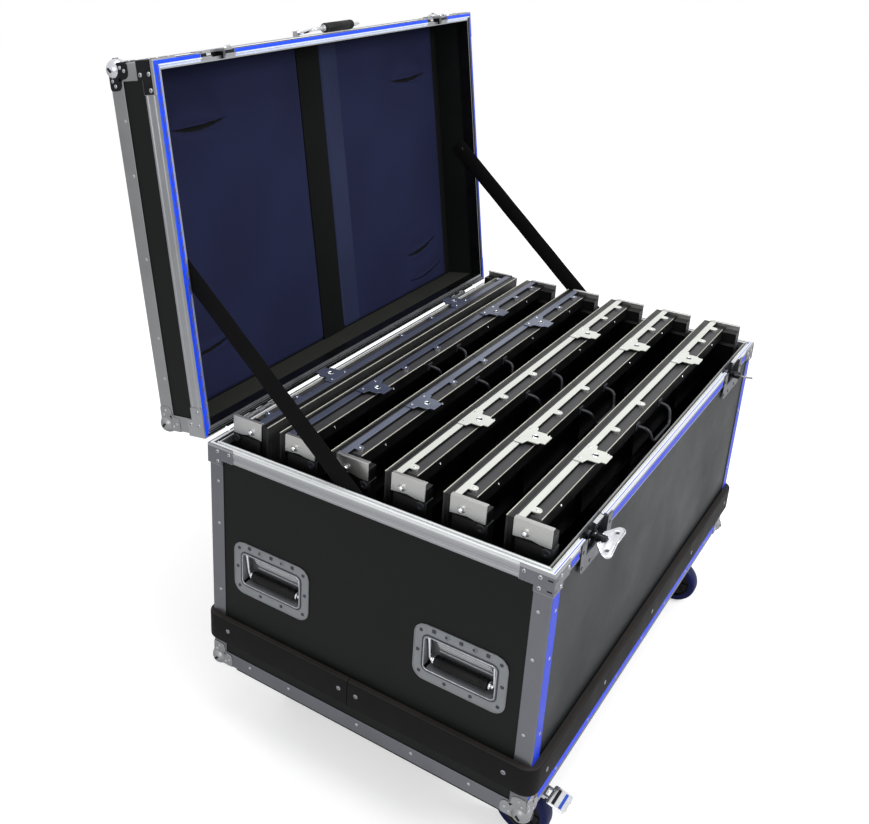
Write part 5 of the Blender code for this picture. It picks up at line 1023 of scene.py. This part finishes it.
def wire_bail(end, span, drop, inset, corner, wire, grip_size, turned):
    """A wire bail with its grip and end pieces: local x across, y out, z up, the pivot at the origin."""
    made = Shape()
    path = [(-end, 0, 0), (-span, 0, 0), (-span, inset, -drop)]
    path += [(-x, y, z) for x, y, z in reversed(path)]
    made.add(rod(fillet(path, corner, 6), wire, 12))
    made.add(lathe(grip_profile(*grip_size, 0.003), 24, ACROSS, (0, inset, -drop)), 1)
    for side in BOTH:
        for profile, steps, x in turned:
            made.add(lathe(profile, steps, (side, 0, 0), (side * x, inset, -drop)))
    return made


def dish_trim():
    """What is laid on a dish's plate: beads, ribs, rivets, nubs and pressed marks, some in painted light and
    shade. Local x across, z up.
    """
    made = Shape()

    def bead(half_a, half_b, corner, steps, out, wire, slot):
        path = [(a, out, b) for a, b in rounded_box(half_a, half_b, corner, steps)]
        made.add(rod(path, wire, 8, closed=True), slot)

    # The outer bead, in the dark nub colour, is a painted shadow of the gap at the plate's edge; the bright
    # bead inside it is painted highlight on the tub's shoulder.
    bead(0.0674, 0.0359, 0.0110, 6, 0.0003, 0.0010, 2)
    bead(0.0643, 0.0328, 0.0095, 6, 0.0008, 0.0011, 1)
    top, foot = Vector((0, -0.0105, 0.0315)), Vector((0, -0.0265, 0.0019))
    down = (foot - top).normalized()
    out = Vector(ACROSS).cross(down)
    if out.y < 0:
        out = -out
    slope = plate(rounded_box(0.0560, 0.0155, 0.004, 4), 0.0008, edge=0.0003)
    made.add(slope, 0, axes((top + foot) / 2 + out * 0.0029, ACROSS, down))
    # The light ribs are painted light on the recess's slope and floor.
    ribs = [top + (foot - top) * share + out * 0.0032 for share in (0.10, 0.33, 0.56, 0.79)]
    ribs += [Vector((0, -0.0262, -0.0015)), Vector((0, -0.0262, -0.0080))]
    for spot in ribs:
        made.add(rod([spot + Vector((side * 0.048, 0, 0)) for side in BOTH], 0.0014, 8), 3)
    bead(0.0830, 0.0540, 0.0210, 8, 0.0001, 0.0009, 0)
    heads = []
    for side in BOTH:
        for a, b in ((0.0715, 0.0410), (0.0715, -0.0405), (0.0755, 0.0005), (0.0235, -0.0455)):
            heads.append(((side * a, 0.0002, b), BACK))
    studded(made, heads, rivet(0.0032, 0.0014), 2)
    for x in (-0.048, -0.001, 0.048):
        made.add(block((x - 0.0032, x + 0.0032), (-0.0005, 0.0016), (0.0445, 0.0505), 0.0007, 2), 2)
    for x in (-0.0245, 0.0245):
        made.add(rod([(a, 0.0004, b) for a, b in arc((x, 0.0462), 0.0042, 70, 290, 11)], 0.0008, 8))
        studded(made, [((x + 0.0015, 0.0002, 0.0462), BACK)], rivet(0.0022, 0.0012), 2)
    return made


collar = [(0, 0), (0.0070, 0), (0.0074, 0.0012), (0.0070, 0.0034), (0.0045, 0.0042), (0, 0.0042)]
washer = [(0.0042, 0), (0.0046, 0.0015), (0.0042, 0.003)]
turned = [(collar, 18, 0.049), (washer, 16, 0.0535)]
BAIL = wire_bail(0.0625, 0.0585, 0.0450, -0.0065, 0.0065, 0.0031, (0.0098, 0.098), turned)
TRIM = dish_trim()
for end, side_x in ENDS:
    for which, side_y in WHICH:
        name = f"{end}_{which}"
        facing = ((0, -side_x, 0), (side_x, 0, 0), UP)
        pivot = (side_x * (DISH_FACE - 0.006), side_y * DISH_Y, DISH_Z + 0.0315 - 0.0044)
        bail = BAIL.placed(axes(pivot, *facing))
        bail.put(f"{name}_bail", [CHROME, GRIP], f"{name}_handle", "grip", [f"{name}_handle_bail"], sharp=50)
        trim = TRIM.placed(axes((side_x * DISH_FACE, side_y * DISH_Y, DISH_Z), *facing))
        trim.put(f"{name}_dish_trim", DISH_MATERIALS, "case", "zinc", sharp=50)


# Twist latches

SPINDLE_Z = RIM_Z - 0.0185
WING_TURNS = {-1: math.radians(13.0), 1: math.radians(-22.0)}
TUB_BACK = -0.3149
FIXINGS = [(-0.054, -0.017), (-0.054, -0.046), (-0.022, -0.0475)]
FIXINGS += [(-a, b) for a, b in reversed(FIXINGS)]


def wing_outline():
    right = arc((0.0275, 0.0285), 0.009, -48, 90, 9)
    left = [(-a, b) for a, b in reversed(right)]
    crown = [(0.012, 0.0364), (0, 0.0352), (-0.012, 0.0364)]
    notch = [(-0.0155, 0.0075), (-0.0085, 0.0075)] + arc((0, 0.0110), 0.0085, 180, 0, 12)
    notch += [(0.0085, 0.0075), (0.0155, 0.0075)]
    return right + crown + left + notch


def latch_wing():
    """A butterfly wing on its spindle: local x along the wing, y out from the case, z its thickness."""
    made = Shape()
    holes = [circle(0.0034, (way * 0.0215, 0.0265), 16) for way in BOTH]
    made.add(plate(wing_outline(), 0.0032, holes, 0.0012, 3))
    lip = [(0.0350, 0.0300, 0.0008), (0.0325, 0.0348, 0.0012), (0.0270, 0.0362, 0.0014)]
    lip += [(0.012, 0.0352, 0.0012)]
    lip += [(0, 0.0342, 0.0012)] + [(-x, y, z) for x, y, z in reversed(lip)]
    made.add(rod(fillet(lip, 0.006, 4), 0.0014, 8))
    dimple = [(0.0050, 0.0012), (0.0046, 0.0021), (0.0036, 0.0019), (0.0034, 0.0010)]
    for way in BOTH:
        made.add(lathe(dimple, 18, UP, (way * 0.0215, 0.0265, 0)))
    hub = [(0.0036, -0.009), (0.0036, 0.0018), (0.0066, 0.0018), (0.0075, 0.0028), (0.0075, 0.0160)]
    hub += [(0.0070, 0.0175), (0.0058, 0.0184), (0, 0.0185)]
    made.add(lathe(hub, 24, BACK), 1)
    made.add(rod([(-0.0162, 0.0115, 0), (0.0162, 0.0115, 0)], 0.0019, 12), 2)
    return made


WING = latch_wing()
for end, side in ENDS:
    turn = Matrix.Rotation(-WING_TURNS[side], 4, "Y")
    place = Matrix.Translation((side * LATCH_X, -HALF_Y, SPINDLE_Z)) @ turn
    wing = WING.placed(place @ axes((0, 0, 0), ACROSS, (0, -1, 0), UP))
    # The left wing takes bright metal, the right dark zinc: lit and shaded copies of one wing, the right one
    # painted shade.
    wing_materials = [LIT_METAL if side < 0 else ZINC, DARK_METAL, CHROME]
    wing.put(f"{end}_wing", wing_materials, f"{end}_wing", "zinc", [f"{end}_latch_wing"], sharp=45)
    rivets_and_tub_shade = Shape()
    x = side * LATCH_X
    studded(rivets_and_tub_shade, [on_face("y", -1, x + a, RIM_Z + b, 0.0012) for a, b in FIXINGS], rivet(0.0036, 0.0016))
    # Dark sheets on the back and the floor of the latch's tub: painted shade in the recess.
    tub_x = (x - 0.0425, x + 0.0425)
    rivets_and_tub_shade.add(block(tub_x, (TUB_BACK, TUB_BACK - 0.0003), (RIM_Z - 0.0284, RIM_Z - 0.0036), 0))
    rivets_and_tub_shade.add(block(tub_x, (TUB_BACK, -HALF_Y), (RIM_Z - 0.0288, RIM_Z - 0.0285), 0))
    rivets_and_tub_shade.put(f"{end}_latch_rivets", [DARK_METAL], "case", "zinc", sharp=50)


# Casters

CASTER_X = 0.416
CASTER_Y = 0.245
TRAIL = 0.034
WHEEL_RADIUS = 0.050
CASTER_TURNS = {("left", "back"): math.radians(90.0)}


def wheel():
    """A wheel about the local X axis: blue tread in slot 0, core in slot 1."""
    made = Shape()
    tread = [(0.036, -0.0150), (0.0445, -0.0160), (0.0478, -0.0140), (0.0494, -0.0095), (WHEEL_RADIUS, 0)]
    tread += [(r, -a) for r, a in reversed(tread[:-1])]
    made.add(lathe(tread, 48, ACROSS))
    core = [(0.0365, 0.0150), (0.0350, 0.0138), (0.0330, 0.0105), (0.0190, 0.0095), (0.0165, 0.0140)]
    core += [(0.0140, 0.0165), (0.0066, 0.0168), (0.0066, 0)]
    spoke = plate([(0.017, -0.0018), (0.033, -0.0014), (0.033, 0.0014), (0.017, 0.0018)], 0.0036, edge=0.0006)
    for side in BOTH:
        made.add(lathe(core, 36, (side, 0, 0)), 1)
        for k in range(8):
            angle = math.pi * k / 4
            along = Vector((0, math.cos(angle), math.sin(angle)))
            made.add(spoke, 1, axes((side * 0.0108, 0, 0), along, Vector(ACROSS).cross(along), ACROSS))
    return made


def pedal():
    """A brake pedal about its pivot: local x across, y along it outwards, z up."""
    made = Shape()
    made.add(rod([(-0.0150, 0, 0), (0.0150, 0, 0)], 0.0052, 16))
    side = [(0, -0.004), (0.0300, -0.0035), (0.0305, -0.0045), (0.0645, -0.0120), (0.0645, -0.0090)]
    side += [(0.0300, -0.0005), (0, 0.004)]
    for x in (-0.0105, 0.0105):
        made.add(extruded(side, (x - 0.0024, x + 0.0024), "x"))
    out = Vector((0, 0.034, -0.0075)).normalized()
    place = axes((0, 0.0475, -0.0058), ACROSS, out, Vector(ACROSS).cross(out))
    made.add(plate(rounded_box(0.0228, 0.0170, 0.004, 4), 0.0026, edge=0.0008, steps=2), 0, place)
    for y, slot, depth in ((-0.0060, 1, 0.0044), (0.0070, 2, 0.0040)):
        outline = rounded_box(0.0190, depth / 2 + 0.0008, 0.0014, 3, (0, y))
        made.add(plate(outline, 0.0034, edge=0.0006), slot, place)
    made.add(block((-0.0100, 0.0100), (0.0140, 0.0245), (-0.0110, -0.0030), 0.001, 2))
    return made


WHEEL = wheel()
PEDAL = pedal()
for end, side_x in ENDS:
    for which, side_y in WHICH:
        name = f"{end}_{which}"
        turn = Matrix.Rotation(CASTER_TURNS.get((end, which), 0), 4, "Z")
        turned = Matrix.Translation((side_x * CASTER_X, side_y * CASTER_Y, 0)) @ turn
        rolling = WHEEL.placed(turned @ Matrix.Translation((0, -TRAIL, WHEEL_RADIUS)))
        wheel_materials = [TREAD, WHEEL_CORE, CASTER_STEEL]
        rolling.put(f"{name}_wheel_tyre", wheel_materials, f"{name}_wheel", "wheel", [f"{name}_caster_wheel"])
        if side_x < 0:
            lever = PEDAL.placed(turned @ axes((0, -0.0475, 0.1085), (-1, 0, 0), (0, -1, 0), UP))
            pedal_materials = [CHROME, WHEEL_CORE, PEDAL_BLUE]
            replaced = [f"{name}_brake_pedal"]
            lever.put(f"{name}_pedal", pedal_materials, f"{name}_brake", "caster_steel", replaced)


# The lid's lining, drawn closed: a thin board and strip, and two padded panels

LINING_LOW = LID_TOP - PANEL_INSET - PANEL - 0.0003 - 0.002
STRIP_X = -0.0105
PAD_MATERIALS = [NAVY, NAVY_LIGHT, LINING_BLACK]

# Folds of the cloth: the middle as x and y, half the length, sag, tilt, and the hollow's depth

FOLDS_LEFT = [(-0.360, HALF_Y - 0.530, 0.078, 0.003, 0.02, 0.0040)]
FOLDS_LEFT += [(-0.400, HALF_Y - 0.120, 0.070, 0.003, 0.10, 0.0034)]
FOLDS_RIGHT = [(0.376, HALF_Y - 0.530, 0.080, 0.003, 0.02, 0.0038)]
FOLDS_RIGHT += [(0.386, HALF_Y - 0.120, 0.068, 0.004, 0.14, 0.0046)]
FOLDS_RIGHT += [(0.400, HALF_Y - 0.055, 0.080, 0.010, 0.10, 0.0022)]


def hummock(value):
    """A smooth rise from 0 to 1."""
    value = min(max(value, 0), 1)
    return value * value * (3 - 2 * value)


def at_fold(x, y, fold):
    """Where a point is along a fold, from -1 to 1, and how far above its lip."""
    mid_x, mid_y, half, sag, tilt, _ = fold
    along = (x - mid_x) / half
    return along, mid_y + sag * (1 - along * along) - tilt * (x - mid_x) - y


def crease(x, y, folds):
    """How far the cloth comes out at a point, where it hangs over a fold: a lip above, a hollow below."""
    total = 0
    for fold in folds:
        along, above = at_fold(x, y, fold)
        fade = hummock((1 - abs(along)) / 0.5)
        if abs(along) < 1 and above > 0:
            total += 0.0016 * fade * math.exp(-above / 0.018)
        elif abs(along) < 1:
            total -= fold[-1] * fade * math.exp(above / 0.008)
    return total


def in_fold(x, y, folds):
    """Whether a point lies in the hollow of a fold, where the cloth takes painted shade."""
    for fold in folds:
        along, above = at_fold(x, y, fold)
        if abs(along) < 1 and -2.2 * fold[-1] * (1 - along * along) < above < 0.0004:
            return True
    return False


def stations(low, high, spots, wide):
    """Places from one end to the other, close together at the ends and near the spots."""
    made = [low]
    while made[-1] < high - 0.00001:
        here = made[-1]
        at_end = min(here - low, high - here) < 0.012
        at_spot = any(abs(here - spot) < 0.026 for spot in spots)
        made.append(min(here + (0.0016 if at_spot else 0.0024 if at_end else wide), high))
    return made


def padded_panel(low_x, high_x, low_y, high_y, folds, light_x=None):
    """A padded panel on the lining: its sides pull in and its face swells and creases, facing down."""
    columns = stations(low_x, high_x, [light_x] if light_x else [], 0.006)
    rows = stations(low_y, high_y, [fold[1] for fold in folds], 0.008)
    nx, ny, radius = len(columns) - 1, len(rows) - 1, 0.010
    verts, faces, slots = [], [], []
    for row in rows:
        for x in columns:
            y = row
            dx = max(radius - (x - low_x), radius - (high_x - x), 0)
            dy = max(radius - (y - low_y), radius - (high_y - y), 0)
            corner = math.hypot(dx, dy)
            if corner > radius:
                pull = radius / corner
                x += (dx - dx * pull) * (1 if x < (low_x + high_x) / 2 else -1)
                y += (dy - dy * pull) * (1 if y < (low_y + high_y) / 2 else -1)
            edge = min(x - low_x, high_x - x, y - low_y, high_y - y)
            away = max(min(edge, radius - corner if corner else edge), 0)
            rise = math.sqrt(max(0, 1 - (1 - min(away / 0.010, 1)) ** 2))
            wander = 0.0004 * math.sin(x * 17 + y * 5) * math.sin(y * 13 + 1.3)
            flap = 0.0006 if light_x and x < light_x else 0
            depth = 0.0012 + rise * (0.0030 + wander + flap + crease(x, y, folds))
            verts.append((x, y, LINING_LOW - min(max(depth, 0.0004), 0.0060)))
    for j in range(ny):
        for i in range(nx):
            a = j * (nx + 1) + i
            faces.append((a, a + 1, a + nx + 2, a + nx + 1))
            # Faces in a fold's hollow take the black cloth: painted shade in the crease.
            shaded = in_fold((columns[i] + columns[i + 1]) / 2, (rows[j] + rows[j + 1]) / 2, folds)
            slots.append(2 if shaded else 1 if light_x and columns[i] < light_x else 0)
    count = len(verts)
    loop = [*range(nx + 1)]
    loop += [j * (nx + 1) + nx for j in range(1, ny + 1)]
    loop += [ny * (nx + 1) + i for i in range(nx - 1, -1, -1)]
    loop += [j * (nx + 1) for j in range(ny - 1, 0, -1)]
    verts += [(verts[index][0], verts[index][1], LINING_LOW + 0.0002) for index in loop]
    size = len(loop)
    for k in range(size):
        j = (k + 1) % size
        faces.append((loop[k], loop[j], count + j, count + k))
    faces.append(tuple(range(count, count + size)))
    made = Shape()
    made.add((verts, faces))
    made.slots[:len(slots)] = slots
    return made


board = Shape()
half_x, half_y = INNER_X - 0.0012, INNER_Y - 0.0012
board.add(block((-half_x, half_x), (-half_y, half_y), (LINING_LOW + 0.0018, LINING_LOW), 0.0005))
ends_x, ends_y = (STRIP_X - 0.039, STRIP_X + 0.039), (-half_y + 0.001, half_y - 0.001)
board.add(block(ends_x, ends_y, (LINING_LOW, LINING_LOW - 0.0050), 0.0018, 3))
wall = (LID_Z + RIM_HEIGHT + 0.0005, LINING_LOW - 0.0004)
board.add(block((-half_x, half_x), (half_y + 0.0006, half_y), wall, 0), 1)
ends_y = (-INNER_Y + 0.004, INNER_Y - 0.004)
left_pad = padded_panel(-0.5245, STRIP_X - 0.0380, *ends_y, FOLDS_LEFT)
right_pad = padded_panel(STRIP_X + 0.0380, 0.4960, *ends_y, FOLDS_RIGHT, 0.090)
board.put("lining_board", [LINING_BLACK, WALL_CLOTH], "lid", "lining", ["lid_lining"], LID_PLACE)
for name, pad in (("left_lining_pad", left_pad), ("right_lining_pad", right_pad)):
    made = pad.put(name, PAD_MATERIALS, "lid", "lining", (), LID_PLACE, sharp=60)


# The handle on the lid's front edge

HANDLE_Z = LID_Z + 0.051
collar = [(0, 0), (0.0066, 0), (0.0070, 0.0014), (0.0064, 0.0040), (0, 0.0042)]
lid_bail = wire_bail(0.089, 0.079, 0.040, -0.0057, 0.008, 0.0034, (0.0095, 0.096), [(collar, 18, 0.048)])
lid_bail = lid_bail.placed(LID_PLACE @ Matrix.Translation((0, -HALF_Y - 0.0068, HANDLE_Z)))
lid_bail.put("lid_bail", [CHROME, GRIP], "lid_handle", "grip", ["lid_handle_grip"], sharp=50)
bracket = Shape()
places = [on_face("y", -1, x, HANDLE_Z + z, 0.0005) for x in (-0.0935, 0.0935) for z in (-0.009, 0.009)]
studded(bracket, places, rivet(0.0030, 0.0012))
bracket.put("lid_handle_rivets", [RIVET], "lid", "zinc", place=LID_PLACE)


# Stay straps

FOOT = Vector((0, 0.010, RIM_Z - 0.0275))
HEAD = LID_PLACE @ Vector((0, HALF_Y - 0.334, LID_Z + 0.033))
STRAP_X = 0.5222
STRAP_END = 0.018
STRAP_ROWS = 72
along = (HEAD - FOOT).normalized()
across = Vector((0, -along.z, along.y))
length = (HEAD - FOOT).length + 2 * STRAP_END
section = [(-0.0190, 0.0003), (-0.0180, 0.0010), (0.0180, 0.0010), (0.0190, 0.0003)]
section += [(-a, -b) for a, b in section]
screw_head = [(0.0062, -0.0008), (0.0062, 0.0003), (0.0056, 0.0010), (0.0040, 0.0012), (0.0036, 0.0018)]
screw_head += [(0.0018, 0.0012), (0, 0.0012)]
for end, side in ENDS:
    plane = side * STRAP_X
    rows = []
    for i in range(STRAP_ROWS + 1):
        t = i / STRAP_ROWS
        place = FOOT + along * (t * length - STRAP_END)
        lean = 0.00035 * math.sin(t * 37) * math.sin(t * math.pi)
        rows.append([place + across * a + Vector((plane + b + lean, 0, 0)) for a, b in section])
    strap = Shape()
    strap.add(skin(rows))
    webbing = strap.put(f"{end}_webbing_strap", [WEBBING], None, "webbing", [f"{end}_stay_strap"], sharp=50)
    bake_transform(webbing)
    for spot, body, name in ((FOOT, "case", "foot"), (HEAD, "lid", "head")):
        fixing = Shape()
        fixing.add(lathe(screw_head, 22, (-side, 0, 0), (plane - side * 0.0010, spot.y, spot.z)))
        fixing.put(f"{end}_strap_{name}_screw", [DARK_METAL], body, "zinc", sharp=50)


# Floor, light and camera

WHITE = grey(1)

bm = bmesh.new()
bmesh.ops.create_grid(bm, x_segments=4, y_segments=4, size=60)
floor_mesh = bpy.data.meshes.new("studio_floor")
bm.to_mesh(floor_mesh)
bm.free()
studio = bpy.data.objects.new("studio_floor", floor_mesh)
bpy.context.scene.collection.objects.link(studio)
ground = Nodes(bpy.data.materials.new("studio_floor"))
ground.settle(Base_Color=grey(0.80), Roughness=0.9)
rays = ground.node("ShaderNodeLightPath")
glow = ground.node("ShaderNodeEmission", {"Color": WHITE, "Strength": 0.52})
dark = ground.node("ShaderNodeEmission", {"Color": grey(0), "Strength": 0})
inputs = {0: rays.outputs["Is Camera Ray"], 1: dark.outputs[0], 2: glow.outputs[0]}
seen = ground.node("ShaderNodeMixShader", inputs)
total = ground.node("ShaderNodeAddShader", {0: ground.shader.outputs[0], 1: seen.outputs[0]})
ground.tree.links.new(total.outputs[0], ground.tree.nodes["Material Output"].inputs["Surface"])
floor_mesh.materials.append(ground.owner)

world = bpy.data.worlds.new("studio")
bpy.context.scene.world = world
sky = Nodes(world, "Background")
rays = sky.node("ShaderNodeLightPath").outputs
first = sky.math("MAXIMUM", rays["Is Camera Ray"], rays["Is Glossy Ray"])
second = sky.math("MAXIMUM", first, rays["Is Transmission Ray"])
level = sky.node("ShaderNodeMapRange", {"Value": second, "To Min": 0.55, "To Max": 1.0})
sky.link("Strength", level.outputs[0])
sky.settle(Color=WHITE)

for name, place, size, power in (
    ("key_light", (0.6, -3.2, 2.8), 1.6, 75),
    ("top_light", (-0.4, -0.2, 3.4), 2.2, 45),
    ("fill_light", (-3.4, -0.4, 1.6), 2.0, 18),
):
    light = bpy.data.lights.new(name, "AREA")
    light.shape = "DISK"
    light.size = size
    light.energy = power
    lamp = bpy.data.objects.new(name, light)
    lamp.location = place
    lamp.rotation_euler = (Vector((0, 0, 0.5)) - Vector(place)).to_track_quat("-Z", "Y").to_euler()
    bpy.context.scene.collection.objects.link(lamp)

# The camera as fitted to the photograph: its size and middle and the focal length in pixels

PICTURE_WIDTH = 869
PICTURE_HEIGHT = 824
MIDDLE_X = 300
MIDDLE_Y = 326.76
FOCAL = 1028.83
SENSOR = 36

camera_data = bpy.data.cameras.new("camera")
camera_data.sensor_fit = "HORIZONTAL"
camera_data.sensor_width = SENSOR
camera_data.lens = FOCAL / PICTURE_WIDTH * SENSOR
camera_data.shift_x = (PICTURE_WIDTH / 2 - MIDDLE_X) / PICTURE_WIDTH
camera_data.shift_y = (MIDDLE_Y - PICTURE_HEIGHT / 2) / PICTURE_WIDTH
camera_data.clip_start = 0.05
camera_data.clip_end = 200
camera = bpy.data.objects.new("camera", camera_data)
bpy.context.scene.collection.objects.link(camera)
right = Vector((0.592339, -0.805619, 0.010566))
down = Vector((-0.298277, -0.231456, -0.925991))
forward = Vector((0.748442, 0.545349, -0.377398))
camera.matrix_world = axes((-1.75579, -0.75503, 1.51232), right, -down, -forward)
bpy.context.scene.camera = camera
bpy.context.scene.view_settings.view_transform = "Standard"

bpy.context.view_layer.update()
